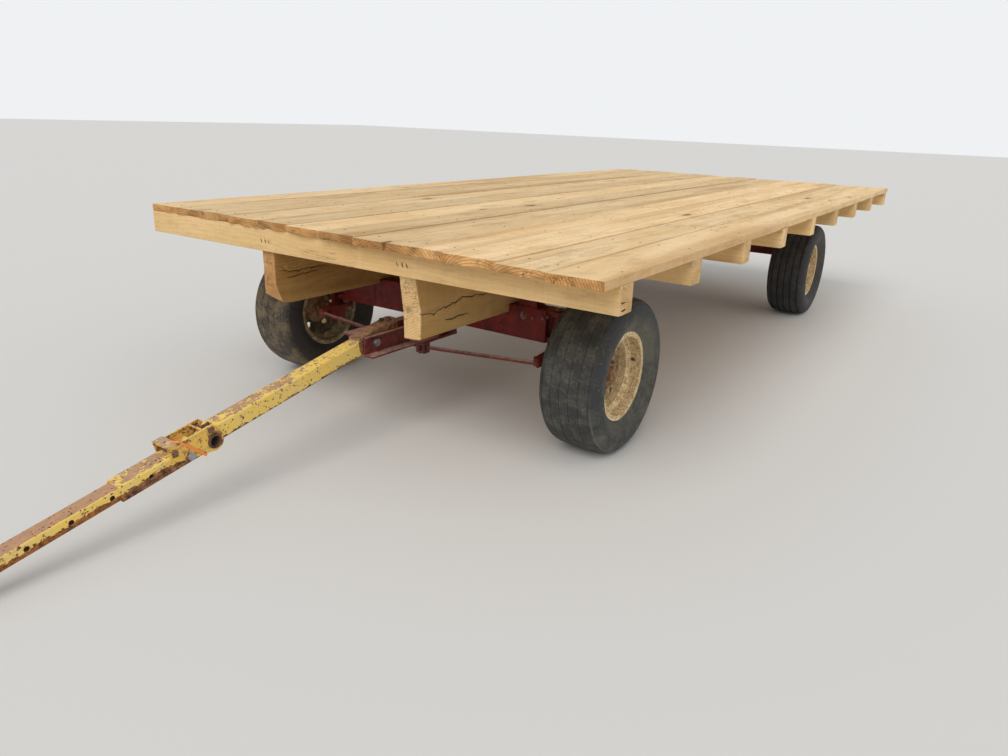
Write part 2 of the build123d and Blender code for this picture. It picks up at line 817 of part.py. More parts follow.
# Tail strap bolted on the tail's top, rounded at its rear end
strap_thick = 9.0
strap_front = 78.0
strap_back = tail_back + 8.0
strap_corner = 24.0
with BuildPart() as tongue_tail_strap:
    with BuildSketch(tongue_side(tube_wide / 2)):
        with Locations(((strap_front - strap_back) / 2, tube_high / 2 + strap_thick / 2)):
            Rectangle(strap_front + strap_back, strap_thick)
    extrude(amount=tube_wide)
    upright = Axis(tongue_root, (math.sin(slope), 0, math.cos(slope)))
    fillet(tongue_tail_strap.edges().filter_by(upright).sort_by(Axis.X)[:2], radius=strap_corner)
save(tongue_tail_strap, "tongue_tail_strap")

# Hinge plates, one each side of the tube and the sleeve
bolt_radius = 7.0
bolt_head = 12.0
# Each bolt's distance along the tongue and its height from the tube's middle
top_bolt = (995.0, sleeve_high / 2 - boss_drop + bolt_radius + seat)
side_bolt = (942.0, -21.0)
stop_bolt = (boss_along + 3.0, 32.0)
plate_wall = 6.0
plate_inside = sleeve_wide / 2 + seat
plate_outside = plate_inside + plate_wall
plate_crest = 48.0
plate_nose = 1014.0
plate_round = 38.0
plate_waist = (boss_along - 0.75 * plate_round, 0.66 * plate_round - boss_drop)
plate_turn = (boss_along - 21.0, plate_crest - 16.0)
# Outline from the rear top corner over the nose and along the underside to the pipe and the waist
plate_outline = (
    (boss_along - 8.0, plate_crest),
    (plate_nose, plate_crest),
    (plate_nose - 4.0, 4.0),
    (plate_nose - 16.0, -12.0),
    (boss_along + 96.0, -32.0),
    (boss_along, -boss_drop - plate_round),
    (boss_along, -boss_drop),
    plate_waist,
)
with BuildPart() as hinge_plates:
    for side in (1, -1):
        start = side * plate_inside + (plate_wall if side > 0 else 0)
        with BuildSketch(tongue_side(start)):
            with BuildLine():
                Polyline(*plate_outline)
                ThreePointArc(plate_waist, plate_turn, plate_outline[0])
            make_face()
            with Locations((boss_along, -boss_drop)):
                Circle(plate_round)
                Circle(pipe_radius + running, mode=Mode.SUBTRACT)
            with Locations(top_bolt, side_bolt, stop_bolt):
                Circle(bolt_radius + running, mode=Mode.SUBTRACT)
        extrude(amount=plate_wall)
save(hinge_plates, "hinge_plates")

# Hinge pipe through both plates and the tube's end
pipe_proud = 5.0
with BuildPart() as hinge_pipe:
    with BuildSketch(tongue_side(plate_outside + pipe_proud)):
        with Locations((boss_along, -boss_drop)):
            Circle(pipe_radius)
            Circle(pipe_bore, mode=Mode.SUBTRACT)
    extrude(amount=2 * (plate_outside + pipe_proud))
save(hinge_pipe, "hinge_pipe")

# Crosspiece over the plates' front ends and the thin stop bar behind it
cross_start = plate_nose - 40.0
cross_thick = 6.0
cross_hole = 5.0
stop_bar_radius = 4.0
stop_bar = (boss_along + 31.0, plate_crest - stop_bar_radius / 2)
with BuildPart() as hinge_crosspiece:
    with BuildSketch(tongue_side(plate_outside)):
        with Locations(((cross_start + plate_nose) / 2, plate_crest + cross_thick / 2)):
            Rectangle(plate_nose - cross_start, cross_thick)
    extrude(amount=2 * plate_outside)
    with BuildSketch(tongue_side(plate_inside)):
        with Locations(stop_bar):
            Circle(stop_bar_radius)
    extrude(amount=2 * plate_inside)
    with BuildSketch(tongue_flat((cross_start + plate_nose) / 2)):
        Circle(cross_hole)
    extrude(amount=2 * plate_crest, mode=Mode.SUBTRACT)
save(hinge_crosspiece, "hinge_crosspiece")

# Bolts: one right through over the sleeve, and two short ones in each plate
bolt_head_thick = 8.0
bolt_short = 1.0
with BuildPart() as hinge_bolts:
    with BuildSketch(tongue_side(plate_outside)):
        with Locations(top_bolt):
            Circle(bolt_radius)
    extrude(amount=2 * plate_outside)
    for side in (1, -1):
        with BuildSketch(tongue_side(side * plate_outside)):
            with Locations(side_bolt):
                Circle(bolt_radius)
        extrude(amount=side * (plate_outside - sleeve_wide / 2 + sleeve_wall - bolt_short))
        with BuildSketch(tongue_side(side * plate_outside)):
            with Locations(stop_bolt):
                Circle(bolt_radius)
        extrude(amount=side * plate_wall)
        with BuildSketch(tongue_side(side * plate_outside)):
            with Locations(top_bolt, stop_bolt):
                RegularPolygon(bolt_head, 6)
            with Locations(side_bolt):
                Circle(1.1 * bolt_head)
        extrude(amount=-side * bolt_head_thick)
save(hinge_bolts, "hinge_bolts")

# Sleeve that holds the telescoping tube
sleeve_corner = 9.0
inner_corner = 8.0
bore_corner = 4.0
with BuildPart() as tongue_sleeve:
    bore_wide = sleeve_wide - 2 * sleeve_wall
    bore_high = sleeve_high - 2 * sleeve_wall
    with BuildSketch(tongue_cut(sleeve_start, -boss_drop)):
        RectangleRounded(sleeve_wide, sleeve_high, sleeve_corner)
        RectangleRounded(bore_wide, bore_high, bore_corner, mode=Mode.SUBTRACT)
    extrude(amount=sleeve_end - sleeve_start)
    with BuildSketch(tongue_side(sleeve_wide / 2)):
        with Locations((first_hole, -boss_drop)):
            Circle(hole_radius)
        with Locations(side_bolt):
            Circle(bolt_radius + running)
    extrude(amount=sleeve_wide, mode=Mode.SUBTRACT)
save(tongue_sleeve, "tongue_sleeve")

# Inner tube with its row of pin holes
hole_count = 5
tube_end = tongue_reach - 95.0
with BuildPart() as tongue_tube_inner:
    bore_wide = inner_wide - 2 * inner_wall
    bore_high = inner_high - 2 * inner_wall
    with BuildSketch(tongue_cut(inner_start, -boss_drop)):
        RectangleRounded(inner_wide, inner_high, inner_corner)
        RectangleRounded(bore_wide, bore_high, bore_corner, mode=Mode.SUBTRACT)
    extrude(amount=tube_end - inner_start)
    with BuildSketch(tongue_side(inner_wide / 2)):
        for number in range(hole_count):
            with Locations((first_hole + number * hole_pitch, -boss_drop)):
                Circle(hole_radius)
    extrude(amount=inner_wide, mode=Mode.SUBTRACT)
save(tongue_tube_inner, "tongue_tube_inner")

# Hitch clevis: two ears welded over and under the tube's end, drilled for the drawbar pin
ear_lap = 90.0
ear_start = tube_end - ear_lap
ear_round = ear_wide / 2
hitch_along = tongue_reach - ear_round
with BuildPart() as hitch_clevis:
    for level in (inner_high / 2, -inner_high / 2 - ear_thick):
        with BuildSketch(tongue_flat(0, level - boss_drop)):
            with Locations(((ear_start + hitch_along) / 2, 0)):
                Rectangle(hitch_along - ear_start, ear_wide)
            with Locations((hitch_along, 0)):
                Circle(ear_round)
                Circle(hitch_hole_radius, mode=Mode.SUBTRACT)
        extrude(amount=ear_thick)
save(hitch_clevis, "hitch_clevis")
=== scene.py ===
import json
import math
import random

import bmesh
import bpy
import numpy as np
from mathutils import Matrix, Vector, noise

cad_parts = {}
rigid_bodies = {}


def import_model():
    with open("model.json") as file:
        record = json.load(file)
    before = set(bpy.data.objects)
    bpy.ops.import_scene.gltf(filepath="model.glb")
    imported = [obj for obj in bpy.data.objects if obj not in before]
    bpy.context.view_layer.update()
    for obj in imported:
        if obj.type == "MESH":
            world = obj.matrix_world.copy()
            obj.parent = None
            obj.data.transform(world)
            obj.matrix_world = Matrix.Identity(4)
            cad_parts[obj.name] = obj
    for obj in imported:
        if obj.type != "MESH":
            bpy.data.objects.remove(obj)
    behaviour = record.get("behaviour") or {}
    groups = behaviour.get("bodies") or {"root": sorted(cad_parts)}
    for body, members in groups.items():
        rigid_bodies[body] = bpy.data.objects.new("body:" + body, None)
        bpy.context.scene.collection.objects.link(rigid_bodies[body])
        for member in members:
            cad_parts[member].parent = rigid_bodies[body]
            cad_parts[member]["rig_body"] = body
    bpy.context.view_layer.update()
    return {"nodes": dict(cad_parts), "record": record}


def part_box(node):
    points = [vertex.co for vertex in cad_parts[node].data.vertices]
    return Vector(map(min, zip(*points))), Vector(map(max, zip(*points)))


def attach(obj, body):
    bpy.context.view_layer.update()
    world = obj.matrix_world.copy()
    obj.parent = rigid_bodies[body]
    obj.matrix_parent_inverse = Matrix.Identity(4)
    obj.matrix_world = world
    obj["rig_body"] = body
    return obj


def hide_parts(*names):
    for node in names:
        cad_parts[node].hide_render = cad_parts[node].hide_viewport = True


# Hay wagon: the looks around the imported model. Metres, X forward, Y to the wagon's left, Z up.
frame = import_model()
nodes = frame["nodes"]
slot_of = {row["node"]: row["material_slot"] for row in frame["record"]["subparts"]}
MM = 0.001

# The tongue's own directions, from the bolt that it hangs on
TONGUE_SLOPE = math.radians(11.342)
TONGUE_WAY = (math.cos(TONGUE_SLOPE), 0.0, -math.sin(TONGUE_SLOPE))
TONGUE_UP = (math.sin(TONGUE_SLOPE), 0.0, math.cos(TONGUE_SLOPE))
TONGUE_ROOT = tuple(sum(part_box("pivot_bolt"), Vector()) / 2)
AXLES = [tuple(sum(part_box(name), Vector()) / 2) for name in ("rim_front_left", "rim_rear_left")]
WHEEL_HALF = (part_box("rim_front_left")[0].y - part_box("rim_front_right")[0].y) / 2


def on_tongue(along, aside, up):
    """A point by its distance along the tongue, to its left and over its middle."""
    return Vector(TONGUE_ROOT) + along * Vector(TONGUE_WAY) + Vector((0, aside, 0)) + up * Vector(TONGUE_UP)


# Camera, at the photograph's place
CAMERA_PLACE = (3.780, 2.183, 1.363)
CAMERA_TURN = (71.01, -2.04, 124.10)
CAMERA_LENS = 27.04
CAMERA_SENSOR = 36.0

camera_data = bpy.data.cameras.new("camera")
camera_data.lens = CAMERA_LENS
camera_data.sensor_width = CAMERA_SENSOR
camera_data.sensor_fit = "HORIZONTAL"
camera_data.clip_end = 200.0
camera = bpy.data.objects.new("camera", camera_data)
camera.location = CAMERA_PLACE
camera.rotation_euler = [math.radians(angle) for angle in CAMERA_TURN]
bpy.context.scene.collection.objects.link(camera)
bpy.context.scene.camera = camera


def linear(red, green, blue):
    """A colour given as it looks on screen, 0 to 255, as the shader's linear values."""
    values = [v / 255 for v in (red, green, blue)]
    return (*[v / 12.92 if v <= 0.04045 else ((v + 0.055) / 1.055) ** 2.4 for v in values], 1.0)


class Finish:
    """One procedural material: its shader, and short ways to add nodes to it."""

    def __init__(self, name, **sockets):
        self.material = bpy.data.materials.new(name)
        self.material.use_nodes = True
        tree = self.material.node_tree
        tree.nodes.clear()
        self.nodes, self.links = tree.nodes, tree.links
        self.colour = None
        self.shader = self.nodes.new("ShaderNodeBsdfPrincipled")
        self.links.new(self.shader.outputs[0], self.nodes.new("ShaderNodeOutputMaterial").inputs[0])
        for socket, value in sockets.items():
            self.plug(value, self.shader.inputs[socket])

    def plug(self, value, socket):
        if isinstance(value, bpy.types.NodeSocket):
            self.links.new(value, socket)
        else:
            socket.default_value = value

    def add(self, kind, values, output=0, **settings):
        node = self.nodes.new("ShaderNode" + kind)
        for key, value in settings.items():
            setattr(node, key, value)
        for socket, value in values.items():
            self.plug(value, node.inputs[socket])
        return node.outputs[output]

    def place(self):
        return self.add("TexCoord", {}, "Object")

    def facing(self):
        """How far the surface faces up: 1 up, -1 down."""
        normal = self.add("TexCoord", {}, "Normal")
        return self.add("SeparateXYZ", {0: normal}, 2)

    def measure(self, origin, way):
        """How far a point of the surface lies from origin along a direction."""
        away = self.add("VectorMath", {0: self.place(), 1: origin}, operation="SUBTRACT")
        return self.add("VectorMath", {0: away, 1: way}, "Value", operation="DOT_PRODUCT")

    def from_axle(self):
        """How far a point of the surface lies from the nearer axle line."""
        flat = self.stretch(self.place(), (1, 0, 1))
        return self.math("MINIMUM", *[self.distance(flat, (x, 0.0, up)) for x, aside, up in AXLES])

    def band(self, value, start, end, soft):
        """1 between start and end, 0 outside them."""
        rise = self.fit(value, start - soft, start)
        fall = self.fit(value, end, end + soft, 1.0, 0.0)
        return self.times(rise, fall)

    def stretch(self, vector, scale):
        return self.add("VectorMath", {0: vector, 1: scale}, operation="MULTIPLY")

    def noise(self, vector, scale, detail=4.0, rough=0.6, twist=0.0):
        values = {"Vector": vector, "Scale": scale, "Detail": detail, "Roughness": rough, "Distortion": twist}
        return self.add("TexNoise", values)

    def streaks(self, vector, scale, *details):
        """Noise with its own scale in each direction."""
        return self.noise(self.stretch(vector, scale), 1.0, *details)

    def shift(self, vector, by):
        return self.add("VectorMath", {0: vector, 1: by}, operation="ADD")

    def distance(self, vector, point):
        return self.add("VectorMath", {0: vector, 1: point}, "Value", operation="DISTANCE")

    def math(self, operation, first, second=0.0):
        return self.add("Math", {0: first, 1: second}, operation=operation)

    def times(self, first, second):
        return self.math("MULTIPLY", first, second)

    def plus(self, first, second):
        return self.math("ADD", first, second)

    def minus(self, first, second):
        return self.math("SUBTRACT", first, second)

    def larger(self, first, second):
        return self.math("MAXIMUM", first, second)

    def line(self, value, thin, wide, most=1.0):
        """most along the thin wandering lines where a noise crosses its middle, 0 away from them."""
        return self.fit(self.math("ABSOLUTE", self.minus(value, 0.5)), thin, wide, most, 0.0)

    def fit(self, value, low, high, to_low=0.0, to_high=1.0):
        values = {0: value, 1: low, 2: high, 3: to_low, 4: to_high}
        return self.add("MapRange", values, interpolation_type="SMOOTHSTEP")

    def mix(self, factor, first, second):
        return self.add("Mix", {0: factor, 6: first, 7: second}, 2, data_type="RGBA")

    def lay(self, amount, colour):
        """Lays a colour over what this finish has so far."""
        self.colour = self.mix(amount, self.colour, colour)

    def edges(self, radius):
        """1 along the sharp edges of the surface, 0 away from them."""
        rounded = self.add("Bevel", {"Radius": radius}, samples=4)
        plain = self.add("NewGeometry", {}, "Normal")
        same = self.add("VectorMath", {0: rounded, 1: plain}, "Value", operation="DOT_PRODUCT")
        return self.fit(self.minus(1.0, same), 0.02, 0.35)

    def relief(self, height, depth):
        return self.add("Bump", {"Height": height, "Distance": depth})

    def set(self, **sockets):
        for socket, value in sockets.items():
            self.plug(value, self.shader.inputs[socket.replace("_", " ")])
        return self.material


def knots(f, grain):
    """Sparse columns through the thickness, and the halo in which they push the growth rings aside."""
    cells = {"Vector": f.stretch(grain, (1.7, 5.0, 0.9)), "Scale": 1.0}
    kind = f.add("SeparateColor", {0: f.add("TexVoronoi", cells, "Color")})
    chosen = f.fit(kind, 0.52, 0.56)
    wobble = f.fit(f.streaks(grain, (40, 40, 40), 2.0), 0.2, 0.8, -0.025, 0.025)
    far = f.plus(f.add("TexVoronoi", cells, "Distance"), wobble)
    knot = f.times(f.fit(far, 0.055, 0.10, 1.0, 0.0), chosen)
    return knot, f.times(f.fit(far, 0.08, 0.30, 1.0, 0.0), chosen)


def growth_rings(f, grain, halo):
    """Rings about a pith that wanders along the timber."""
    wander = f.stretch(grain, (0.9, 2.0, 2.0))
    drift = f.add("TexNoise", {"Vector": wander, "Scale": 1.0, "Detail": 2.0}, "Color")
    bent = f.shift(grain, f.stretch(drift, (0.0, 0.075, 0.075)))
    bent = f.shift(bent, f.add("CombineXYZ", {1: f.times(halo, 0.012)}))
    waves = {"Vector": bent, "Scale": 30.0, "Distortion": 2.2, "Detail": 3.0, "Detail Scale": 1.5}
    return f.add("TexWave", waves, "Fac", wave_type="RINGS", rings_direction="X", wave_profile="SAW")


def drying_checks(f, grain):
    """Thin dark lines with the grain, in places."""
    lines = f.streaks(grain, (2.2, 55, 55), 3.0, 0.55, 0.4)
    patch = f.fit(f.streaks(grain, (2.5, 12, 12), 2.0), 0.60, 0.70)
    return f.times(f.line(lines, 0.0035, 0.010), patch)


def end_cracks(f, grain):
    """Short dark cracks and torn grain on sawn ends."""
    lines = f.streaks(grain, (3, 44, 44), 5.0, 0.62, 1.4)
    torn = f.fit(f.streaks(grain, (2, 15, 15), 3.0), 0.47, 0.60)
    return f.times(f.line(lines, 0.003, 0.012), torn)


def timber_finish(name, pale, tan, brown, end_cut=False, figure=0.24, sawn=0.22):
    """Fresh rough-sawn softwood, read from each timber's own grain coordinates: along, across, through.
    figure is how strongly its growth rings show and sawn how strongly the saw marks do."""
    f = Finish(name)
    grain = f.add("Attribute", {}, "Vector", attribute_name="grain")
    tone = f.add("Attribute", {}, "Fac", attribute_name="tone")
    knot, halo = knots(f, grain)
    fibre = f.streaks(grain, (9, 420, 420), 3.0, 0.7)
    cloud = f.streaks(grain, (1.3, 7.0, 7.0), 4.0, 0.6)
    saw = f.streaks(grain, (260, 7, 4), 2.0, 0.5)
    sweep = f.streaks(grain, (33, 3, 2), 2.0, 0.5)
    f.colour = f.mix(f.fit(cloud, 0.3, 0.7), pale, tan)
    heart = f.streaks(grain, (0.35, 6.0, 6.0), 2.0, 0.5)
    f.lay(f.fit(heart, 0.54, 0.70, 0.0, 0.45), brown)
    f.lay(f.fit(growth_rings(f, grain, halo), 0.45, 1.0, 0.0, figure), brown)
    f.lay(f.fit(fibre, 0.45, 0.8, 0.0, 0.34), brown)
    f.lay(f.fit(saw, 0.48, 0.72, 0.0, sawn), brown)
    f.lay(f.fit(sweep, 0.5, 0.8, 0.0, 0.12), pale)
    f.lay(f.times(halo, 0.30), brown)
    f.lay(f.times(knot, 0.85), linear(98, 64, 38))
    check = drying_checks(f, grain)
    f.lay(f.times(check, 0.75), linear(74, 52, 34))
    if end_cut:
        crack = end_cracks(f, grain)
        f.lay(f.times(crack, 0.7), linear(70, 44, 26))
        check = f.larger(check, crack)
    # Grey-brown handling dirt, sawdust and scuffs, and each timber's own tone
    soil = f.streaks(grain, (5, 11, 11), 6.0, 0.7)
    f.lay(f.fit(soil, 0.50, 0.78, 0.0, 0.45), linear(146, 122, 92))
    scuff = f.streaks(grain, (28, 60, 60), 5.0, 0.75)
    f.lay(f.fit(scuff, 0.60, 0.72, 0.0, 0.45), linear(120, 96, 70))
    # Darker along the edges: wear, and on sawn ends a stronger dark line of painted shade
    edge_wear_and_shade = linear(96, 66, 38) if end_cut else linear(150, 112, 70)
    f.lay(f.times(f.edges(3.0 * MM), 0.6 if end_cut else 0.35), edge_wear_and_shade)
    colour = f.add("HueSaturation", {"Color": f.colour, "Value": f.fit(tone, 0.0, 1.0, 0.84, 1.08)})
    height = f.plus(f.times(saw, 0.8), f.times(fibre, 0.6))
    height = f.minus(height, f.times(check, 2.2))
    height = f.minus(height, f.times(knot, 0.5))
    height = f.plus(height, f.times(scuff, 0.5))
    rough = f.fit(fibre, 0.3, 0.8, 0.76, 0.94)
    bump = f.relief(height, 1.1 * MM)
    return f.set(Base_Color=colour, Roughness=rough, Normal=bump, Specular_IOR_Level=0.2)


def rust_colour(f, place, dark, bright):
    """Mottled rust between two colours."""
    blotch = f.noise(place, 45.0, 6.0, 0.7)
    speck = f.noise(place, 260.0, 4.0, 0.7)
    colour = f.mix(f.fit(blotch, 0.35, 0.65), dark, bright)
    return f.mix(f.fit(speck, 0.5, 0.75, 0.0, 0.5), colour, dark)


def small_chips(f, place, pits):
    """Chips with sharp outlines, in crowds that grow with pits."""
    cell = f.add("TexNoise", {"Vector": place, "Scale": 110.0, "Detail": 3.0, "Roughness": 0.6}, "Color")
    drawn = f.shift(place, f.stretch(cell, (0.016, 0.016, 0.016)))
    cells = {"Vector": drawn, "Scale": 88.0}
    spots = f.add("TexVoronoi", cells, "Distance")
    size = f.add("SeparateColor", {0: f.add("TexVoronoi", cells, "Color")})
    spots = f.minus(spots, f.fit(size, 0.20, 1.0, 0.0, 0.36))
    crowd = f.fit(f.noise(place, 26.0, 4.0, 0.7), 0.52 - pits, 0.60 - pits)
    return f.times(f.fit(spots, -0.03, 0.02, 1.0, 0.0), crowd)


def painted(name, paint, faded, dark, bright, dust, chips, top_rust, dusty, pits=0.0, worn=None):
    """Old paint over rusting steel: chipped at edges and in spots, rustier and dustier on what faces up,
    where the pale dust film is also a painted highlight.
    dark and bright are its rust's colours, and worn adds wear where this part has had most."""
    f = Finish(name)
    place = f.place()
    up = f.facing()
    large = f.noise(place, 15.0, 6.0, 0.68)
    small = f.noise(place, 80.0, 5.0, 0.68)
    wear = f.plus(f.times(large, 0.60), f.times(small, 0.40))
    level = f.plus(wear, f.times(f.edges(2.6 * MM), 0.16))
    level = f.plus(level, f.fit(up, 0.55, 0.95, 0.0, top_rust))
    if worn:
        level = f.plus(level, worn(f))
    bare = f.fit(level, 0.640 - chips, 0.652 - chips)
    halo = f.fit(level, 0.585 - chips, 0.645 - chips, 0.0, 0.40)
    spots = small_chips(f, place, pits)
    f.colour = f.mix(f.fit(large, 0.35, 0.7), paint, faded)
    f.lay(f.fit(f.noise(place, 5.0, 3.0), 0.4, 0.7, 0.0, 0.5), faded)
    f.lay(halo, f.mix(0.5, faded, bright))
    # Bare rust turns towards the dust colour on what faces up: dust, and a painted highlight on the tops
    rust = f.mix(f.fit(up, 0.3, 0.9, 0.0, 0.62), rust_colour(f, place, dark, bright), dust)
    f.lay(bare, rust)
    f.lay(f.times(spots, 0.9), dark)
    # Pale film on what faces up: dust, and a painted highlight that makes the tops look lit
    dust_and_highlight = f.fit(f.noise(place, 30.0, 5.0, 0.7), 0.55 - 0.4 * dusty, 0.75)
    dust_and_highlight = f.times(dust_and_highlight, f.fit(up, 0.1, 0.9, 0.12 * dusty, dusty))
    f.lay(dust_and_highlight, dust)
    gone = f.larger(bare, spots)
    height = f.minus(f.times(f.noise(place, 190.0, 4.0), 0.5), f.times(gone, 0.7))
    rough = f.fit(gone, 0.0, 1.0, 0.52, 0.92)
    bump = f.relief(height, 0.8 * MM)
    return f.set(Base_Color=f.colour, Roughness=rough, Normal=bump, Specular_IOR_Level=0.25)


def tongue_wear(tail=0.0, hinge=0.0, low=0.0, low_from=-0.026):
    """Wear on the tongue: all gone behind tail, more towards the hinge, and along the lower edge."""

    def wear(f):
        along = f.measure(TONGUE_ROOT, TONGUE_WAY)
        up = f.measure(TONGUE_ROOT, TONGUE_UP)
        wander = f.fit(f.noise(f.place(), 42.0, 5.0, 0.7), 0.3, 0.7, -8 * MM, 8 * MM)
        under = f.fit(f.plus(up, wander), low_from - 4 * MM, low_from, low, 0.0)
        behind = f.plus(along, f.times(wander, 1.2))
        gone = f.fit(behind, tail, tail + 6 * MM, 0.5, 0.0)
        near = f.fit(along, 0.15, 0.80, -hinge, hinge)
        return f.plus(f.plus(under, gone), near)

    return wear


def rusted(name, dark, bright, dust, metallic=0.0, silver=None):
    """Bare rusted steel. silver is a point of the tongue with newer bright steel round it."""
    f = Finish(name, Metallic=metallic)
    place = f.place()
    f.colour = rust_colour(f, place, dark, bright)
    f.lay(f.fit(f.noise(place, 24.0, 5.0), 0.45, 0.8, 0.0, 0.5), dust)
    if silver:
        flat = f.stretch(place, (1, 0, 1))
        far = f.distance(flat, (silver[0], 0.0, silver[2]))
        dull = f.fit(f.noise(place, 300.0, 4.0), 0.4, 0.7)
        zinc = f.mix(dull, linear(168, 172, 178), linear(112, 112, 112))
        f.lay(f.fit(far, 14 * MM, 16 * MM, 0.92, 0.0), zinc)
    height = f.noise(place, 150.0, 5.0, 0.7)
    rough = f.fit(height, 0.3, 0.7, 0.66, 0.95)
    return f.set(Base_Color=f.colour, Roughness=rough, Normal=f.relief(height, 0.9 * MM))


def inboard_grime_and_shade(f, large):
    """1 on the side of a wheel that faces the gear, where grime and painted shade are laid."""
    aside = f.measure((0.0, AXLES[0][1] - WHEEL_HALF, 0.0), (0.0, 1.0, 0.0))
    across = f.add("SeparateXYZ", {0: f.add("TexCoord", {}, "Normal")}, 1)
    inwards = f.fit(f.times(across, f.math("SIGN", aside)), -0.6, -0.3, 1.0, 0.0)
    within = f.fit(f.math("ABSOLUTE", aside), WHEEL_HALF - 4 * MM, WHEEL_HALF, 1.0, 0.0)
    return f.times(f.larger(inwards, within), f.fit(large, 0.3, 0.7, 0.45, 0.85))


def rim_finish(name, cream, tan, rust, dark, dust):
    """Cream paint on a wheel disc and rim, speckled through with rust, most of it in the bead seat, with
    painted shade on the disc and on the side that faces the gear.
    """
    f = Finish(name)
    place = f.place()
    far = f.from_axle()
    large = f.noise(place, 38.0, 6.0, 0.72)
    grain = f.noise(place, 190.0, 5.0, 0.75)
    wear = f.plus(f.times(large, 0.28), f.times(grain, 0.72))
    seat = f.band(far, 157 * MM, 181 * MM, 8 * MM)
    wear = f.plus(wear, f.times(seat, 0.025))
    wear = f.minus(wear, f.times(f.edges(2.4 * MM), 0.08))
    f.colour = f.mix(f.fit(large, 0.40, 0.75), cream, tan)
    f.lay(f.fit(wear, 0.525, 0.565, 0.0, 0.85), rust)
    f.lay(f.fit(wear, 0.60, 0.64, 0.0, 0.85), dark)
    centre = f.times(f.fit(far, 70 * MM, 118 * MM, 0.75, 0.0), f.fit(large, 0.35, 0.6))
    f.lay(centre, dark)
    # Dust on the disc inside the step ring, its dark colour also a painted shade of the well
    disc_dust_and_shade = f.fit(far, 144 * MM, 151 * MM, 0.85, 0.0)
    f.lay(f.times(disc_dust_and_shade, f.fit(large, 0.3, 0.65, 0.6, 1.0)), dust)
    # Grime and painted shade on the side that faces the gear, darkest deep in the rim
    grime_and_shade = inboard_grime_and_shade(f, large)
    deep = f.times(grime_and_shade, f.fit(far, 120 * MM, 165 * MM, 1.0, 0.35))
    f.lay(grime_and_shade, linear(112, 98, 66))
    f.lay(deep, linear(46, 36, 30))
    height = f.minus(f.times(grain, 0.6), f.fit(wear, 0.50, 0.56))
    rough = f.fit(wear, 0.45, 0.6, 0.55, 0.9)
    return f.set(Base_Color=f.colour, Roughness=rough, Normal=f.relief(height, 0.8 * MM))


def rubber(name, black, worn, dust, cracks, rim_dust=0.0, shoulder=0.0, long_cracks=0.0, wall=0.0):
    """Old tyre rubber: scuffed tread, dust by the rim that fades towards the bottom as painted shade, fine
    age cracks and long ones.
    Its last three values set how strongly the dust by the rim, the painted shade and highlight of the
    shoulder and the painted shade on the sidewalls show."""
    f = Finish(name)
    place = f.place()
    far = f.from_axle()
    scuff = f.noise(place, 13.0, 8.0, 0.72)
    grit = f.noise(place, 90.0, 5.0, 0.75)
    f.colour = f.mix(f.fit(scuff, 0.42, 0.60), black, worn)
    # Fine pale scratches that run across the tread
    thread = f.line(f.streaks(place, (46, 9, 46), 4.0, 0.7), 0.004, 0.012)
    thread = f.times(thread, f.fit(scuff, 0.45, 0.62, 0.1, 0.55))
    f.lay(thread, dust)
    # Painted shade and highlight along the shoulder: dark towards the top of the wheel, paler towards its
    # foot
    level = f.measure((0.0, 0.0, AXLES[0][2]), (0.0, 0.0, 1.0))
    turn = f.band(far, 286 * MM, 326 * MM, 9 * MM)
    paler_foot = f.times(f.fit(level, -0.22, -0.02, 0.75, 0.0), f.fit(scuff, 0.35, 0.6))
    shoulder_shade_and_light = f.mix(paler_foot, linear(46, 48, 51), linear(104, 104, 92))
    f.lay(f.times(turn, shoulder), shoulder_shade_and_light)
    # A thin painted highlight along the shoulder's edge, low on the wheel
    shoulder_highlight = f.times(f.band(far, 326 * MM, 328 * MM, 1.5 * MM), f.fit(level, -0.14, 0.02, 0.5, 0.0))
    f.lay(f.times(shoulder_highlight, shoulder), dust)
    f.lay(f.times(f.fit(grit, 0.5, 0.72), f.fit(scuff, 0.42, 0.7)), dust)
    # Dust by the rim, thinned towards the bottom of the wheel as painted shade
    rim_dust_and_shade = f.times(f.fit(far, 206 * MM, 280 * MM, 1.0, 0.0), f.fit(scuff, 0.2, 0.65, 0.45, 1.0))
    rim_dust_and_shade = f.times(rim_dust_and_shade, f.fit(level, -0.10, 0.14, 0.25, 1.0))
    f.lay(f.times(rim_dust_and_shade, rim_dust), dust)
    # Painted shade darkening the sidewalls inside the tread
    sidewall_shade = f.times(f.fit(far, 300 * MM, 326 * MM, 1.0, 0.0), wall)
    f.lay(sidewall_shade, linear(30, 27, 24))
    fleck = f.fit(f.noise(place, 210.0, 3.0, 0.7), 0.66, 0.72, 0.0, 0.5)
    f.lay(fleck, linear(134, 128, 116))
    crack = f.add("TexVoronoi", {"Vector": place, "Scale": 95.0}, 0, feature="DISTANCE_TO_EDGE")
    crack = f.fit(crack, 0.012, 0.045, 1.0, 0.0)
    crack = f.times(crack, f.fit(f.noise(place, 7.0, 4.0), 0.62 - cracks, 0.72 - cracks))
    split = f.line(f.noise(place, 8.0, 3.0, 0.5, 0.8), 0.004, 0.010, long_cracks)
    crack = f.larger(crack, split)
    f.lay(f.times(crack, 0.7), linear(22, 21, 20))
    height = f.minus(f.times(grit, 0.5), crack)
    rough = f.fit(scuff, 0.3, 0.7, 0.62, 0.88)
    return f.set(Base_Color=f.colour, Roughness=rough, Normal=f.relief(height, 0.7 * MM))


def strip_finish(name, orange, worn):
    """A thin orange strip, scuffed."""
    f = Finish(name, Roughness=0.45)
    scuff = f.noise(f.place(), 120.0, 4.0, 0.7)
    f.colour = f.mix(f.fit(scuff, 0.5, 0.7, 0.0, 0.5), orange, worn)
    return f.set(Base_Color=f.colour, Normal=f.relief(scuff, 0.2 * MM))


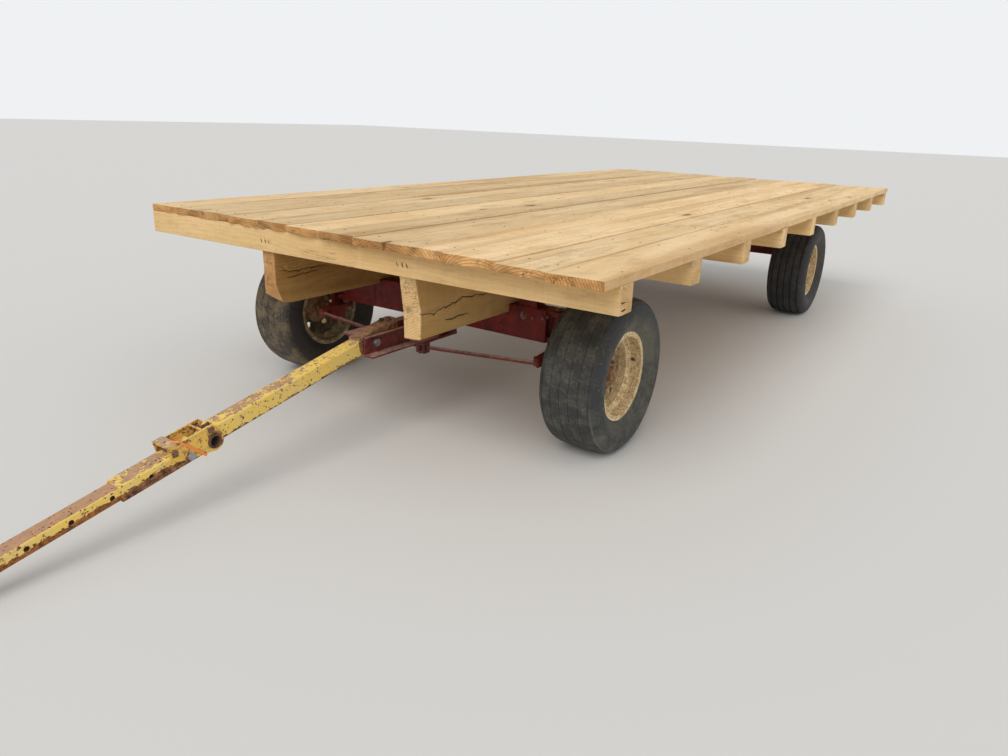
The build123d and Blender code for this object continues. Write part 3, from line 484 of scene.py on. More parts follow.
SIDE_BOLT = on_tongue(0.942, 0.0, -0.021)
RUSTS = ((80, 48, 28), (170, 118, 80))
SIDE_RUSTS = ((96, 58, 30), (178, 112, 60))
RED = ((78, 13, 10), (118, 27, 20), (46, 24, 18), (96, 54, 40))
OCHRE = (244, 206, 94)
STRAW = (236, 206, 130)
CLAY = (204, 166, 136)
# The function, the colours and the other values of each finish
LOOKS = {
    "deck_timber": (timber_finish, ((248, 220, 174), (234, 200, 148), (182, 134, 82)), {}),
    "joist_timber": (
        timber_finish, ((244, 210, 154), (232, 194, 134), (176, 128, 76)), {"figure": 0.12, "sawn": 0.08},
    ),
    # The sills' timber is darker than the deck's: painted shade for their sides under the deck
    "sill_timber": (
        timber_finish, ((208, 172, 112), (188, 148, 88), (134, 92, 50)), {"figure": 0.18, "sawn": 0.12},
    ),
    # The right sill's timber is browner and darker still, partly with age and partly painted shade
    "brown_timber": (
        timber_finish, ((182, 146, 88), (162, 122, 68), (112, 74, 38)), {"figure": 0.22, "sawn": 0.16},
    ),
    "brown_end": (
        timber_finish, ((214, 166, 112), (188, 138, 86), (122, 78, 44)), {"end_cut": True, "figure": 0.30},
    ),
    # Pale sawn end grain of sills and joists, brightened further as painted light where the deck's overhang
    # shades the ends
    "end_timber": (
        timber_finish, ((252, 220, 166), (236, 194, 134), (166, 114, 66)), {"end_cut": True, "figure": 0.30},
    ),
    # Orange-brown sawn ends of the deck boards, darkened further as painted shade
    "board_end": (
        timber_finish, ((228, 178, 116), (198, 144, 84), (118, 74, 38)), {"end_cut": True, "figure": 0.55},
    ),
    # Painted shade inside the cut splits and nail marks: near black
    "split_timber": (rusted, ((20, 13, 8), (34, 23, 14), (40, 29, 18)), {}),
    "red_paint": (painted, (*RED, (118, 80, 64)), {"chips": -0.005, "top_rust": 0.04, "dusty": 0.40}),
    # On the cheeks and tie rods the full top film also paints their upper sides paler, as painted highlight
    "cheek_paint": (painted, (*RED, (186, 158, 146)), {"chips": 0.0, "top_rust": 0.04, "dusty": 1.0}),
    "yellow_paint": (painted, (OCHRE, STRAW, *RUSTS, CLAY), {
        "chips": 0.018, "top_rust": 0.11, "dusty": 0.24, "pits": 0.15,
        "worn": tongue_wear(tail=0.082, hinge=0.035, low=0.26, low_from=-0.023),
    }),
    "sleeve_paint": (painted, (OCHRE, STRAW, *RUSTS, CLAY), {
        "chips": 0.03, "top_rust": 0.13, "dusty": 0.20, "pits": 0.10,
        "worn": tongue_wear(tail=-1.0, low=0.34, low_from=-0.012),
    }),
    "inner_paint": (painted, (OCHRE, STRAW, *SIDE_RUSTS, CLAY), {
        "chips": 0.070, "top_rust": 0.24, "dusty": 0.22, "pits": 0.10,
        "worn": tongue_wear(tail=-1.0, low=0.20, low_from=-0.016),
    }),
    # The hinge plates' pale dust colour and strong top film paint a highlight on their up-facing edges
    "plate_paint": (
        painted, ((238, 190, 78), (228, 190, 108), *SIDE_RUSTS, (238, 212, 158)),
        {"chips": 0.122, "top_rust": -0.03, "dusty": 0.85, "pits": 0.05},
    ),
    "cross_paint": (
        painted, ((226, 182, 84), (222, 186, 118), *RUSTS, (190, 162, 142)),
        {"chips": 0.105, "top_rust": 0.05, "dusty": 0.75, "pits": 0.10},
    ),
    "rusty_steel": (rusted, ((78, 50, 36), (140, 100, 74), (152, 124, 100)), {"silver": SIDE_BOLT}),
    "dark_steel": (rusted, ((54, 40, 32), (110, 78, 58), (128, 104, 84)), {}),
    "red_bolt": (rusted, ((92, 48, 42), (140, 102, 94), (150, 122, 112)), {}),
    "bright_steel": (rusted, ((104, 100, 96), (150, 148, 146), (128, 110, 94)), {"metallic": 0.3}),
    "hub_rust": (rusted, ((106, 74, 50), (166, 126, 92), (182, 154, 118)), {}),
    "strip": (strip_finish, ((246, 142, 62), (228, 160, 104)), {}),
    # The rim's fifth colour, its dust, is dark enough to be painted shade on the disc as well
    "rim_paint": (
        rim_finish, ((246, 224, 178), (222, 188, 130), (182, 134, 80), (130, 86, 50), (116, 94, 56)), {},
    ),
    "tyre_rubber": (
        rubber, ((38, 38, 40), (56, 55, 54), (108, 100, 86)), {"cracks": 0.04, "rim_dust": 0.45},
    ),
    "smooth_rubber": (
        rubber, ((45, 46, 45), (72, 72, 66), (120, 117, 102)),
        {"cracks": 0.10, "rim_dust": 0.70, "shoulder": 0.80, "long_cracks": 0.2},
    ),
    # The front right tyre: brown tread, with painted shade darkening its sidewalls
    "brown_rubber": (
        rubber, ((62, 55, 46), (112, 97, 75), (142, 126, 100)),
        {"cracks": 0.16, "shoulder": 0.1, "long_cracks": 1.0, "wall": 0.85},
    ),
}
FINISHES = {
    name: make(name, *[linear(*colour) for colour in colours], **values)
    for name, (make, colours, values) in LOOKS.items()
}
# Nodes and tyres whose finish differs from the rest of their slot
OWN_FINISH = {
    "tongue_sleeve": "sleeve_paint", "tongue_tube_inner": "inner_paint", "hitch_clevis": "inner_paint",
    "hinge_plates": "plate_paint", "hinge_crosspiece": "cross_paint", "hinge_pipe": "dark_steel",
    "carrier_cheek_left": "cheek_paint", "carrier_cheek_right": "cheek_paint",
    "tie_rod_left": "cheek_paint", "tie_rod_right": "cheek_paint",
    "pivot_bolt": "bright_steel", "tongue_tail_strap": "hub_rust",
    "hub_front_left": "hub_rust", "hub_front_right": "hub_rust",
    "hub_rear_left": "hub_rust", "hub_rear_right": "hub_rust",
    "tyre_front_left": "smooth_rubber", "tyre_front_right": "brown_rubber",
}


def finish_with(piece, *inks):
    """Gives a piece its finishes. Clearing a list resets each face's choice, so an empty one is left."""
    if piece.data.materials:
        piece.data.materials.clear()
    for ink in inks:
        piece.data.materials.append(FINISHES[ink])


def as_object(name, mesh):
    """A mesh as an object of the scene."""
    data = bpy.data.meshes.new(name)
    mesh.to_mesh(data)
    mesh.free()
    made = bpy.data.objects.new(name, data)
    bpy.context.scene.collection.objects.link(made)
    return made


def as_piece(name, mesh, body, inks, replaced=(), sharp=32.0):
    """A finished mesh as a piece that rides on a body."""
    piece = as_object(name, mesh)
    piece.data.shade_smooth()
    piece.data.set_sharp_from_angle(angle=math.radians(sharp))
    finish_with(piece, *inks)
    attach(piece, body)
    if replaced:
        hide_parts(*replaced)
    return piece


# Small solids: turned shapes, bolts and weld beads
def in_mm(profile):
    """A profile given in millimetres."""
    return [(out * MM, radius * MM) for out, radius in profile]


def turned(mesh, place, way, profile, segments, dent=None):
    """Adds a surface turned about the line through place along way. profile is (distance, radius)."""
    way = Vector(way).normalized()
    first = way.orthogonal().normalized()
    second = way.cross(first)
    rings = []
    for step in range(segments):
        angle = math.tau * step / segments
        ring = []
        for out, radius in profile:
            radius += dent(angle, out, radius) if dent else 0.0
            spot = way * out + (first * math.cos(angle) + second * math.sin(angle)) * radius
            ring.append(mesh.verts.new(Vector(place) + spot))
        rings.append(ring)
    for step in range(segments):
        here, there = rings[step], rings[(step + 1) % segments]
        for index in range(len(profile) - 1):
            mesh.faces.new([here[index], here[index + 1], there[index + 1], there[index]])


def skin(mesh, rings):
    """Covers a row of rings and closes its two ends."""
    count = len(rings[0])
    for here, there in zip(rings, rings[1:]):
        for k in range(count):
            mesh.faces.new([here[k], here[(k + 1) % count], there[(k + 1) % count], there[k]])
    mesh.faces.new(rings[0])
    mesh.faces.new(rings[-1][::-1])


# Corners nearer than this are one
WELD_GAP = 0.02 * MM


def closed(mesh):
    """Joins what touches and turns every face outwards."""
    bmesh.ops.remove_doubles(mesh, verts=mesh.verts, dist=WELD_GAP)
    bmesh.ops.dissolve_degenerate(mesh, edges=mesh.edges, dist=WELD_GAP / 2)
    bmesh.ops.recalc_face_normals(mesh, faces=mesh.faces)
    return mesh


def bolt(mesh, place, way, radius, high, washer=0.0):
    """A hexagon nut with its thread end, on a washer if that has a radius."""
    place = Vector(place)
    way = Vector(way).normalized()
    sunk = 1.5 * MM
    if washer:
        rim = 0.7 * MM
        thick = 2.4 * MM
        plate = [(-sunk, 0), (-sunk, washer), (thick - rim, washer), (thick, washer - rim), (thick, 0)]
        turned(mesh, place, way, plate, 28)
        place = place + way * thick
    nut = [(-sunk, 0), (-sunk, radius), (0.82 * high, radius), (high, 0.86 * radius), (high, 0)]
    turned(mesh, place, way, nut, 6)
    core = 0.52 * radius
    thread = [(0, 0), (0, core), (1.22 * high, core), (1.30 * high, 0.40 * radius), (1.30 * high, 0)]
    turned(mesh, place, way, thread, 14)


def bead(mesh, start, end, radius, seed=0):
    """A lumpy weld bead from start to end."""
    start, end = Vector(start), Vector(end)
    length = (end - start).length
    count = max(int(length / (0.5 * radius)), 4)
    profile = [(length * n / count, radius * (0.0 if n in (0, count) else 1.0)) for n in range(count + 1)]

    def lumps(angle, out, up):
        spot = Vector((out / radius * 0.9, math.cos(angle), math.sin(angle) + 9 * seed))
        return up * 0.28 * noise.noise(spot)

    turned(mesh, start, end - start, profile, 10, lumps)


# Timbers: each CAD timber's own solid, cut into a grid and made rough, with its grain along one axis
def islands(mesh):
    """The separate solids of a mesh, as sets of vertices."""
    left = set(mesh.verts)
    while left:
        start = left.pop()
        group, open_ends = {start}, [start]
        while open_ends:
            for edge in open_ends.pop().link_edges:
                for vertex in edge.verts:
                    if vertex in left:
                        left.remove(vertex)
                        group.add(vertex)
                        open_ends.append(vertex)
        yield group


def extent(vertices):
    """The lowest and the highest corner of some vertices."""
    return [Vector([pick(v.co[i] for v in vertices) for i in range(3)]) for pick in (min, max)]


def in_order(mesh):
    """A mesh's solids, each with its extent, sorted by place."""
    found = [(*extent(group), group) for group in islands(mesh)]
    return sorted(found, key=lambda row: tuple(round(c, 3) for c in row[0] + row[1]))


def lengths_along(path):
    """How far along a path each of its points lies."""
    return np.concatenate([[0], np.cumsum(np.linalg.norm(np.diff(path, axis=0), axis=1))])


def point_along(path, lengths, length):
    """The point of a path at a length along it."""
    return np.array([np.interp(length, lengths, path[:, k]) for k in range(2)])


def splits(axis, face, outward, paths, wide, deep):
    """Wedges that cut splits into a face, widest in their middles. A path is points in the two other axes."""
    others = [other for other in range(3) if other != axis]
    mesh = bmesh.new()
    for number, path in enumerate(paths):
        path = np.array(path, float)
        lengths = lengths_along(path)
        whole = lengths[-1]
        count = max(int(whole / (9 * MM)), 3)
        rings = []
        for step in range(count + 1):
            share = step / count
            ahead = point_along(path, lengths, min(share + 0.02, 1) * whole)
            back = point_along(path, lengths, max(share - 0.02, 0) * whole)
            run = (ahead - back) / np.linalg.norm(ahead - back)
            square = np.array([-run[1], run[0]])
            jitter = noise.noise(Vector((share * whole * 45, number * 3.1, 0.5)))
            spot = point_along(path, lengths, share * whole) + square * jitter * min(0.1 * whole, 8.0 * MM)
            swell = math.sin(math.pi * share)
            half = 0.5 * wide * (0.18 + 0.82 * swell ** 0.5) * (1 + 0.5 * jitter)
            foot = -deep * (0.3 + 0.7 * swell)
            ring = []
            for shift, level in ((half, 3 * MM), (-half, 3 * MM), (0.0, foot)):
                point = Vector((0, 0, 0))
                point[axis] = face + outward * level
                for k, other in enumerate(others):
                    point[other] = spot[k] + square[k] * shift
                ring.append(mesh.verts.new(point))
            rings.append(ring)
        skin(mesh, rings)
    return closed(mesh)


def carve(mesh, cutter, inks):
    """Takes the cutter's wedges out of a mesh, with the third finish, painted shade, inside the splits."""
    for face in cutter.faces:
        face.material_index = 2
    made = [as_object("solid", shape) for shape in (mesh, cutter)]
    for solid in made:
        finish_with(solid, *inks)
    cut = made[0].modifiers.new("cut", "BOOLEAN")
    cut.object = made[1]
    cut.solver = "EXACT"
    result = bpy.data.meshes.new_from_object(made[0].evaluated_get(bpy.context.evaluated_depsgraph_get()))
    for solid in made:
        bpy.data.objects.remove(solid)
    mesh = bmesh.new()
    mesh.from_mesh(result)
    return mesh


def cad_mesh(node):
    """A node's own mesh, with its corners joined."""
    mesh = bmesh.new()
    mesh.from_mesh(nodes[node].data)
    bmesh.ops.remove_doubles(mesh, verts=mesh.verts, dist=WELD_GAP)
    return mesh


def gridded(node, along, steps, rough):
    """A node's timbers with eased corners, cut into a grid, with the second finish on their sawn ends."""
    mesh = cad_mesh(node)
    bmesh.ops.dissolve_limit(mesh, angle_limit=math.radians(0.5), verts=mesh.verts, edges=mesh.edges)
    edges = list(mesh.edges)
    bmesh.ops.bevel(mesh, geom=edges, offset=rough["corner"], segments=1, affect="EDGES", profile=0.5)
    low, high = extent(mesh.verts)
    for axis, step in enumerate(steps):
        if step:
            direction = Vector([float(i == axis) for i in range(3)])
            for number in range(1, int((high[axis] - low[axis]) / step)):
                place = low + direction * step * (number + 0.013)
                geometry = mesh.verts[:] + mesh.edges[:] + mesh.faces[:]
                bmesh.ops.bisect_plane(mesh, geom=geometry, plane_co=place, plane_no=direction)
    mesh.normal_update()
    ends = [face for face in mesh.faces if abs(face.normal[along]) > 0.6]
    for face in ends:
        face.material_index = 1
    edges = list({edge for face in ends for edge in face.edges if edge.calc_length() > 3 * rough["corner"]})
    bmesh.ops.subdivide_edges(mesh, edges=edges, cuts=rough["cells"], use_grid_fill=True)
    return mesh


def along_grain(point, along):
    """A point with the distance along the timber first."""
    return Vector((point[along], *[point[axis] for axis in range(3) if axis != along]))


def roughen(mesh, along, rough, seed):
    """Makes timbers wavy, uneven and ragged at their ends, and gives each timber's grain shift and tone."""
    dice = random.Random(seed)
    shifts = []
    for first, last, group in in_order(mesh):
        shift = Vector((dice.uniform(0, 40), dice.uniform(-0.12, 0.12), dice.uniform(0.03, 0.16)))
        shifts.append((shift, dice.random()))
        thick = 1 + rough["thick"] * dice.uniform(-1, 1)
        narrow = 1 - rough["thick"] * dice.uniform(0.0, 0.25)
        for vertex in group:
            local = vertex.co - (first + last) / 2
            grain = along_grain(local, along) + shift
            reach = min(vertex.co[along] - first[along], last[along] - vertex.co[along])
            vertex.co.z = first.z + (vertex.co.z - first.z) * thick
            vertex.co.y = (first.y + last.y) / 2 + local.y * narrow
            spot = Vector((grain.x * 1.1, grain.y * 9, grain.z * 9))
            for axis in {0, 1, 2} - {along}:
                vertex.co[axis] += rough["wander"][axis] * noise.noise(spot + Vector((axis * 7.3, 0, 0)))
            if reach < rough["reach"]:
                inward = 1 if local[along] < 0 else -1
                jag = 0.5 + 0.5 * noise.noise(Vector((grain.y * 130, grain.z * 90, shift.x)))
                fall = 1 - (vertex.co.z - first.z) / (last.z - first.z)
                torn = max(0.0, noise.noise(Vector((grain.y * 16, grain.z * 40, shift.x + 5))) + 0.1)
                vertex.co[along] += inward * (rough["ragged"] * jag + rough["splinter"] * torn * fall * fall)
    return shifts


def rough_timber(name, node, along, steps, seed, rough, inks, cutters=()):
    """Replaces a node of timbers. steps are the grid's sizes by axis. rough is a dictionary: wander by axis,
    ragged for sawn ends, splinter for what breaks out under them, corner, and thick for uneven thickness.
    inks are the finishes of its faces and of its ends."""
    # The walls of the splits get painted shade
    inks = (*inks, "split_timber")
    mesh = gridded(node, along, steps, rough)
    shifts = roughen(mesh, along, rough, seed)
    for cutter in cutters:
        mesh = carve(mesh, cutter, inks)
    grain = mesh.verts.layers.float_vector.new("grain")
    tone = mesh.verts.layers.float.new("tone")
    for (first, last, group), (shift, own_tone) in zip(in_order(mesh), shifts):
        for vertex in group:
            local = vertex.co - (first + last) / 2
            vertex[grain] = along_grain(local, along) + shift
            vertex[tone] = own_tone
    as_piece(name, mesh, nodes[node]["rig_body"], inks, [node], sharp=24.0)


DECK_ROUGH = {
    "wander": (0, 2.4 * MM, 1.5 * MM), "ragged": 4 * MM, "splinter": 24 * MM, "reach": 4 * MM,
    "corner": 1.0 * MM, "thick": 0.09, "cells": 4,
}
JOIST_ROUGH = {
    "wander": (1.4 * MM, 0, 0.8 * MM), "ragged": 1.6 * MM, "splinter": 2 * MM, "reach": 3 * MM,
    "corner": 1.4 * MM, "thick": 0.0, "cells": 4,
}
SILL_ROUGH = {
    "wander": (0, 1.8 * MM, 0.6 * MM), "ragged": 2.5 * MM, "splinter": 0.0, "reach": 3 * MM,
    "corner": 1.6 * MM, "thick": 0.0, "cells": 5,
}
beam_high, left_high, right_high = [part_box(name)[1] for name in ("cross_joists", "sill_left", "sill_right")]

# Splits that opened as the timber dried, and the marks of slanted nails: points are (forward, up) on a side
# face and (across, up) on the front one
SILL_SPLIT = (
    (1.66, 0.642), (1.61, 0.641), (1.54, 0.630), (1.47, 0.644), (1.36, 0.665), (1.20, 0.654), (1.06, 0.652),
)
SILL_SPLIT_LOW = ((1.48, 0.598), (1.42, 0.591), (1.36, 0.595), (1.31, 0.590))
SILL_SHAKES = (
    ((1.64, 0.725), (1.58, 0.694), (1.51, 0.692), (1.39, 0.701), (1.352, 0.692)),
    ((1.60, 0.672), (1.50, 0.676), (1.41, 0.681)),
)
END_SPLITS = (((1.680, 0.833), (1.643, 0.829)), ((1.676, 0.808), (1.639, 0.811)))
NAIL_MARKS = [
    ((across - 9 * MM + shift, 0.846), (across + shift, 0.826))
    for across in (-0.42, 0.34)
    for shift in (-0.024, 0.0, 0.022)
]

rough_timber(
    "deck_planks", "deck_boards", 0, (0.06, 0.03, None), 3, DECK_ROUGH,
    ("deck_timber", "board_end"),
)
rough_timber(
    "joist_timbers", "cross_joists", 1, (None, 0.06, 0.03), 5, JOIST_ROUGH,
    ("joist_timber", "end_timber"),
    [
        splits(1, beam_high.y, 1, END_SPLITS, 6.0 * MM, 20 * MM),
        splits(0, beam_high.x, 1, NAIL_MARKS, 6.0 * MM, 12 * MM),
    ],
)
rough_timber(
    "sill_timber_left", "sill_left", 0, (0.06, None, 0.03), 7, SILL_ROUGH,
    ("sill_timber", "end_timber"),
    [splits(1, left_high.y, 1, [SILL_SPLIT, SILL_SPLIT_LOW], 5.0 * MM, 22 * MM)],
)
rough_timber(
    "sill_timber_right", "sill_right", 0, (0.06, None, 0.03), 8, SILL_ROUGH,
    ("brown_timber", "brown_end"),
    [splits(1, right_high.y, 1, SILL_SHAKES, 4.0 * MM, 16 * MM)],
)

# Nails, two in each board over each joist
NAIL_HEAD = in_mm([(-2, 0), (-2, 4.2), (0.5, 4.2), (0.9, 0.7 * 4.2), (0.9, 0)])
# Where the two nails stand across a board, and how far a nail strays along and across it, in millimetres
NAIL_SHARES = (-0.31, 0.31)
NAIL_STRAY = (18, 9)
planks = bpy.data.objects["deck_planks"]
bpy.context.view_layer.update()
board_mesh, joist_mesh = cad_mesh("deck_boards"), cad_mesh("cross_joists")
dice = random.Random(11)
nails = bmesh.new()
for joist_first, joist_last, joist in in_order(joist_mesh):
    for first, last, board in in_order(board_mesh):
        for share in NAIL_SHARES:
            stray = [dice.uniform(-most, most) * MM for most in NAIL_STRAY]
            x = (joist_first.x + joist_last.x) / 2 + stray[0]
            y = (first.y + last.y) / 2 + share * (last.y - first.y) + stray[1]
            hit, place, normal, index = planks.ray_cast(Vector((x, y, 2.0)), Vector((0, 0, -1)))
            if hit:
                tilt = Vector((dice.uniform(-0.08, 0.08), dice.uniform(-0.08, 0.08), 1))
                turned(nails, place, tilt, NAIL_HEAD, 12)
board_mesh.free()
joist_mesh.free()
as_piece("deck_nails", closed(nails), "wagon", ["dark_steel"])


# Tyres: a carcass with ribs and grooves, turned about the axle, in shares of its half width and of its radius
TYRE_STEPS = 180
TYRE_SIDE = (
    (0.715, 0.560), (0.745, 0.592), (0.89, 0.66), (0.975, 0.725), (0.997, 0.775), (0.985, 0.84),
    (0.945, 0.895), (0.885, 0.935),
)
TYRE_TREAD = ((0.885, 0.935), (0.80, 0.967), (0.66, 0.984), (0.33, 0.996), (0.0, 1.0))
SIDE_RINGS = (0.615, 0.655, 0.83, 0.912)
RING_PROUD = 1.5 * MM
# For each wheel: where its grooves run as shares of the half width, their width and depth, how deep its wavy
# cuts are, and how bumpy the rubber has worn
RIBS = (-0.66, -0.33, 0.0, 0.33, 0.66)
REAR_WHEEL = {"grooves": RIBS, "wide": 9.0 * MM, "deep": 8.0 * MM, "wavy": 1.0 * MM, "bumps": 0.4 * MM}
WHEELS = {
    "front_left": {
        "grooves": (-0.76, -0.45, -0.15, 0.15, 0.45, 0.76), "wide": 3.2 * MM, "deep": 2.0 * MM, "wavy": 0.0,
        "bumps": 1.0 * MM,
    },
    "front_right": {"grooves": RIBS, "wide": 3.5 * MM, "deep": 1.8 * MM, "wavy": 1.5 * MM, "bumps": 1.8 * MM},
    "rear_left": REAR_WHEEL, "rear_right": REAR_WHEEL,
}


def between(p, q, r, s, t):
    """A smooth curve's value at t of the way from q to r, with p before them and s after them."""
    square = 2 * p - 5 * q + 4 * r - s
    cube = 3 * q - p - 3 * r + s
    return 0.5 * (2 * q + (r - p) * t + square * t * t + cube * t ** 3)


def curve_through(points, count):
    """Evenly spaced points on a smooth curve through the given ones."""
    points = [points[0], *points, points[-1]]
    fine = []
    for a, b, c, d in zip(points, points[1:], points[2:], points[3:]):
        for t in np.linspace(0, 1, 12, endpoint=False):
            fine.append([between(*four, t) for four in zip(a, b, c, d)])
    fine.append(list(points[-2]))
    fine = np.array(fine)
    lengths = lengths_along(fine)
    return [tuple(point_along(fine, lengths, length)) for length in np.linspace(0, lengths[-1], count)]


def tyre_profile(half, radius, wheel):
    """Half widths and radii from the outer bead round the tread to the inner bead, with grooves let in."""
    side = []
    for out, up in curve_through(TYRE_SIDE, 56):
        proud = max(0.0, 1 - min(abs(up - ring) for ring in SIDE_RINGS) / 0.008) * RING_PROUD
        side.append((half * out + proud, radius * up))
    tread = curve_through(TYRE_TREAD, 46)
    surface = dict(sorted((way * half * out, radius * up) for way in (1, -1) for out, up in tread))
    gaps = [half * share for share in wheel["grooves"]]
    walls = {gap + way * wheel["wide"] * k for gap in gaps for way in (1, -1) for k in (0.5, 0.34)}
    points = []
    for out in sorted({*surface, *walls}, reverse=True):
        up = float(np.interp(out, list(surface), list(surface.values())))
        inside = any(abs(out - gap) < 0.45 * wheel["wide"] for gap in gaps)
        points.append((out, up - (wheel["deep"] if inside else 0.0)))
    return side[:-1] + points + [(-out, up) for out, up in side[-2::-1]]


for number, (name, wheel) in enumerate(WHEELS.items()):
    low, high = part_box("tyre_" + name)
    radius = (high.z - low.z) / 2
    half = (high.y - low.y) / 2
    outward = 1 if name.endswith("left") else -1
    profile = tyre_profile(half - 1.4 * MM, radius - 0.4 * MM, wheel)
    # Close the tyre along its inside, from bead to bead
    inside = [(0.80 * half * out, radius * up) for out, up in ((-0.66, 0.54), (-1.0, 0.78), (-0.9, 0.90))]
    inside += [(0.0, radius * 0.94)] + [(-out, up) for out, up in inside[::-1]]
    profile = profile + inside + [profile[0]]

    def dent(angle, out, up, wheel=wheel, number=number, half=half):
        spot = Vector((3 * math.cos(angle), 3 * math.sin(angle), out * 16 + number * 5))
        worn = wheel["bumps"] * (noise.noise(spot) - 0.6)
        waves = wheel["wavy"] * math.sin(angle * 46) if abs(out) < 0.8 * half else 0.0
        return min(worn, 0.0) - abs(waves) * 0.3

    mesh = bmesh.new()
    turned(mesh, (low + high) / 2, (0, outward, 0), profile, TYRE_STEPS, dent)
    node, body = "tyre_" + name, "wheel_" + name
    ink = OWN_FINISH.get(node, "tyre_rubber")
    as_piece("tyre_body_" + name, closed(mesh), body, [ink], [node], 28.0)

# Valves, each through its rim beside the disc
VALVE_TURN = {"front_left": 168, "front_right": 60, "rear_left": 250, "rear_right": 20}
VALVE = in_mm([(-4, 0), (-4, 6), (2, 6), (5, 4), (12, 3.4), (13, 4), (20, 4), (21, 3), (21, 0)])
for name, turn in VALVE_TURN.items():
    low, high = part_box("rim_" + name)
    outward = 1 if name.endswith("left") else -1
    far = Vector((math.cos(math.radians(turn)), 0, math.sin(math.radians(turn))))
    foot = (low + high) / 2 + far * 160 * MM + Vector((0, outward * 64 * MM, 0))
    mesh = bmesh.new()
    turned(mesh, foot, Vector((0, outward, 0)) - 0.55 * far, VALVE, 16)
    as_piece("valve_" + name, closed(mesh), "wheel_" + name, ["dark_steel"])


# Fastenings and welds on the running gear
axle_low, axle_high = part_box("front_axle_beam")
# Across, up, half width of the nut and radius of the washer
BEAM_BOLTS = ((0.446, 0.536, 9, 18), (0.495, 0.532, 8, 0), (0.547, 0.540, 9, 0), (0.572, 0.549, 8, 0))
beam_bolts = bmesh.new()
for across, up, radius, washer in BEAM_BOLTS:
    bolt(beam_bolts, (axle_high.x, across, up), (1, 0, 0), radius * MM, 8 * MM, washer * MM)
as_piece("beam_bolts", closed(beam_bolts), "wagon", ["red_bolt"])

STAKE_FOOT = 0.095
welds = bmesh.new()
for number, name in enumerate(("front_left", "front_right", "rear_left", "rear_right")):
    low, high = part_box(name.replace("_", "_stake_"))
    start, way = (low.y, 1) if name.endswith("left") else (high.y, -1)
    foot = [Vector((high.x, start + way * far, low.z + 1 * MM)) for far in (3 * MM, STAKE_FOOT)]
    bead(welds, *foot, 5 * MM, number)
as_piece("stake_welds", closed(welds), "wagon", ["red_paint"])

# Bolts on the tongue's tail strap
STRAP_TOP = 44.2 * MM
strap_bolts = bmesh.new()
for along, aside in ((-0.110, -0.015), (-0.128, 0.012)):
    bolt(strap_bolts, on_tongue(along, aside, STRAP_TOP), TONGUE_UP, 10 * MM, 8 * MM, 15 * MM)
as_piece("strap_bolts", closed(strap_bolts), "tongue_rear", ["dark_steel"])

# Short rod on the tube's top behind the hinge, with its nut. Both lie under the arc of the hinge's stop bar.
ROD_UP = 40.2 * MM
ROD_BACK = 0.831
NUT_BACK = 0.827
hinge_rod = bmesh.new()
rod = in_mm([(0, 0), (0, 4.5), (1, 5.5), (32, 5.5), (33, 4.5), (33, 0)])
turned(hinge_rod, on_tongue(ROD_BACK, 0.010, ROD_UP), TONGUE_WAY, rod, 20)
nut = in_mm([(0, 0), (0, 6.8), (7, 6.8), (7, 0)])
turned(hinge_rod, on_tongue(NUT_BACK, 0.010, ROD_UP), TONGUE_WAY, nut, 6)
as_piece("hinge_rod", closed(hinge_rod), "tongue_rear", ["dark_steel"])

# Weld beads on the hinge plates and along the sleeve
plate_low, plate_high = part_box("hinge_plates")
sleeve_low, sleeve_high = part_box("tongue_sleeve")
PLATE_FACE = (plate_high.y - plate_low.y) / 2
SLEEVE_FACE = (sleeve_high.y - sleeve_low.y) / 2
# Along the tongue and above its middle, start and end
PLATE_SEAM = ((0.984, 0.009), (1.006, 0.013))
SLEEVE_SEAM = ((1.02, -0.030), (1.19, -0.030))
seams = bmesh.new()
for number, way in enumerate((1, -1)):
    bead(seams, *[on_tongue(along, way * PLATE_FACE, up) for along, up in PLATE_SEAM], 3.5 * MM, number)
    bead(seams, *[on_tongue(along, way * SLEEVE_FACE, up) for along, up in SLEEVE_SEAM], 1.6 * MM, 3 + number)
as_piece("hinge_welds", closed(seams), "tongue_front", ["dark_steel"])

# Orange strip, folded over the left plate's top edge and down across its face
STRIP_WIDE = 10 * MM
STRIP_THICK = 1.2 * MM
STRIP_OUT = PLATE_FACE + 2.2 * MM
STRIP_ROUTE = (
    (0.986, 0.020, 0.0552), (0.976, 0.032, 0.0556), (0.968, STRIP_OUT - 3 * MM, 0.0530),
    (0.962, STRIP_OUT, 0.0440), (0.940, STRIP_OUT, 0.0180), (0.912, STRIP_OUT, -0.0180),
    (0.889, STRIP_OUT + 1 * MM, -0.0480),
)


def ribbon(mesh, route, wide, thick):
    """A flat strip along a route, its width square to the run and lying along the tongue."""
    path = [on_tongue(*spot) for spot in route]
    rings = []
    for index, spot in enumerate(path):
        run = (path[min(index + 1, len(path) - 1)] - path[max(index - 1, 0)]).normalized()
        out = Vector((0, 1, 0)) if abs(run.y) < 0.5 else Vector(TONGUE_UP)
        side = run.cross(out).normalized()
        out = side.cross(run).normalized()
        corners = ((wide, -thick), (wide, thick), (-wide, thick), (-wide, -thick))
        rings.append([mesh.verts.new(spot + side * a / 2 + out * b / 2) for a, b in corners])
    skin(mesh, rings)


strip_mesh = bmesh.new()
ribbon(strip_mesh, STRIP_ROUTE, STRIP_WIDE, STRIP_THICK)
strip = as_piece("hinge_strip", closed(strip_mesh), "tongue_front", ["strip"])
strip_ease = strip.modifiers.new("ease", "BEVEL")
strip_ease.width = 0.4 * MM
strip_ease.segments = 2


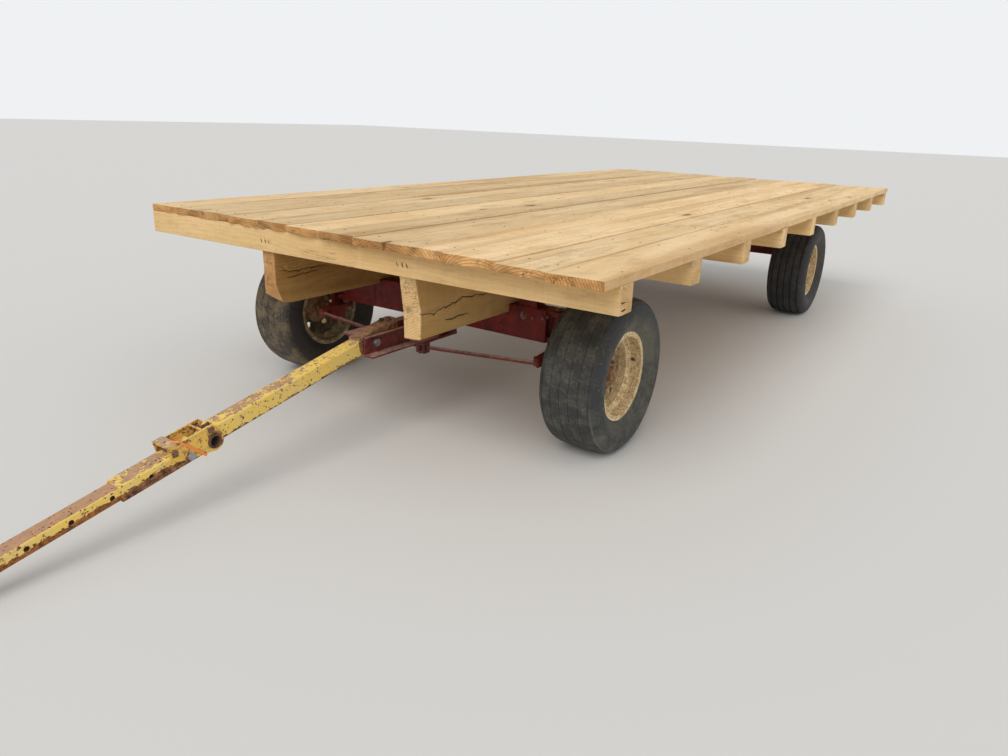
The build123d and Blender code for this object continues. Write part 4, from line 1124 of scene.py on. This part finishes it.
# CAD nodes keep their shape, with eased edges and the finish of their slot
EASE = 1.2 * MM
for name, node in nodes.items():
    if node.hide_render:
        continue
    finish_with(node, OWN_FINISH.get(name, slot_of[name]))
    weld = node.modifiers.new("weld", "WELD")
    weld.merge_threshold = WELD_GAP
    ease = node.modifiers.new("ease", "BEVEL")
    ease.width = EASE
    ease.segments = 2
    ease.limit_method = "ANGLE"
    ease.angle_limit = math.radians(40)
    ease.use_clamp_overlap = True
    node.data.shade_smooth()
    smooth = node.modifiers.new("normals", "WEIGHTED_NORMAL")
    smooth.keep_sharp = True


# Floor, lamps and world
FLOOR_HALF = 60.0
FLOOR_COLOUR = (0.72, 0.71, 0.69, 1.0)
SKY_COLOUR = (0.96, 0.98, 1.0, 1.0)
floor_mesh = bmesh.new()
bmesh.ops.create_grid(floor_mesh, x_segments=1, y_segments=1, size=FLOOR_HALF)
floor = as_object("floor", floor_mesh)
FINISHES["floor"] = Finish("floor").set(Base_Color=FLOOR_COLOUR, Roughness=0.95, Specular_IOR_Level=0.1)
finish_with(floor, "floor")

world = bpy.data.worlds.new("world")
bpy.context.scene.world = world
world.use_nodes = True
# How bright the sky is as a light, and as the camera and reflections see it
WORLD_LIGHT = 0.55
WORLD_SEEN = 0.90
sky = world.node_tree.nodes
join = world.node_tree.links.new
seen = sky.new("ShaderNodeLightPath")
strength = sky.new("ShaderNodeMath")
strength.operation = "MULTIPLY_ADD"
strength.inputs[1].default_value = WORLD_SEEN - WORLD_LIGHT
strength.inputs[2].default_value = WORLD_LIGHT
last = seen.outputs["Is Camera Ray"]
for ray in ("Is Glossy Ray", "Is Transmission Ray"):
    either = sky.new("ShaderNodeMath")
    either.operation = "MAXIMUM"
    join(last, either.inputs[0])
    join(seen.outputs[ray], either.inputs[1])
    last = either.outputs[0]
join(last, strength.inputs[0])
sky["Background"].inputs["Color"].default_value = SKY_COLOUR
join(strength.outputs[0], sky["Background"].inputs["Strength"])


def lamp(name, place, power, spread, warmth=(1.0, 1.0, 1.0)):
    """A soft light from far away, which shines from place towards the middle of the wagon."""
    data = bpy.data.lights.new(name, "SUN")
    data.angle = math.radians(spread)
    data.energy = power
    data.color = warmth
    source = bpy.data.objects.new(name, data)
    source.location = place
    source.rotation_euler = (-Vector(place)).to_track_quat("-Z", "Y").to_euler()
    bpy.context.scene.collection.objects.link(source)


lamp("key", (6.5, 1.2, 6.3), 1.60, 40.0, (1.0, 0.98, 0.95))
lamp("side", (1.0, 8.0, 4.5), 0.30, 60.0)

bpy.context.scene.view_settings.view_transform = "Standard"
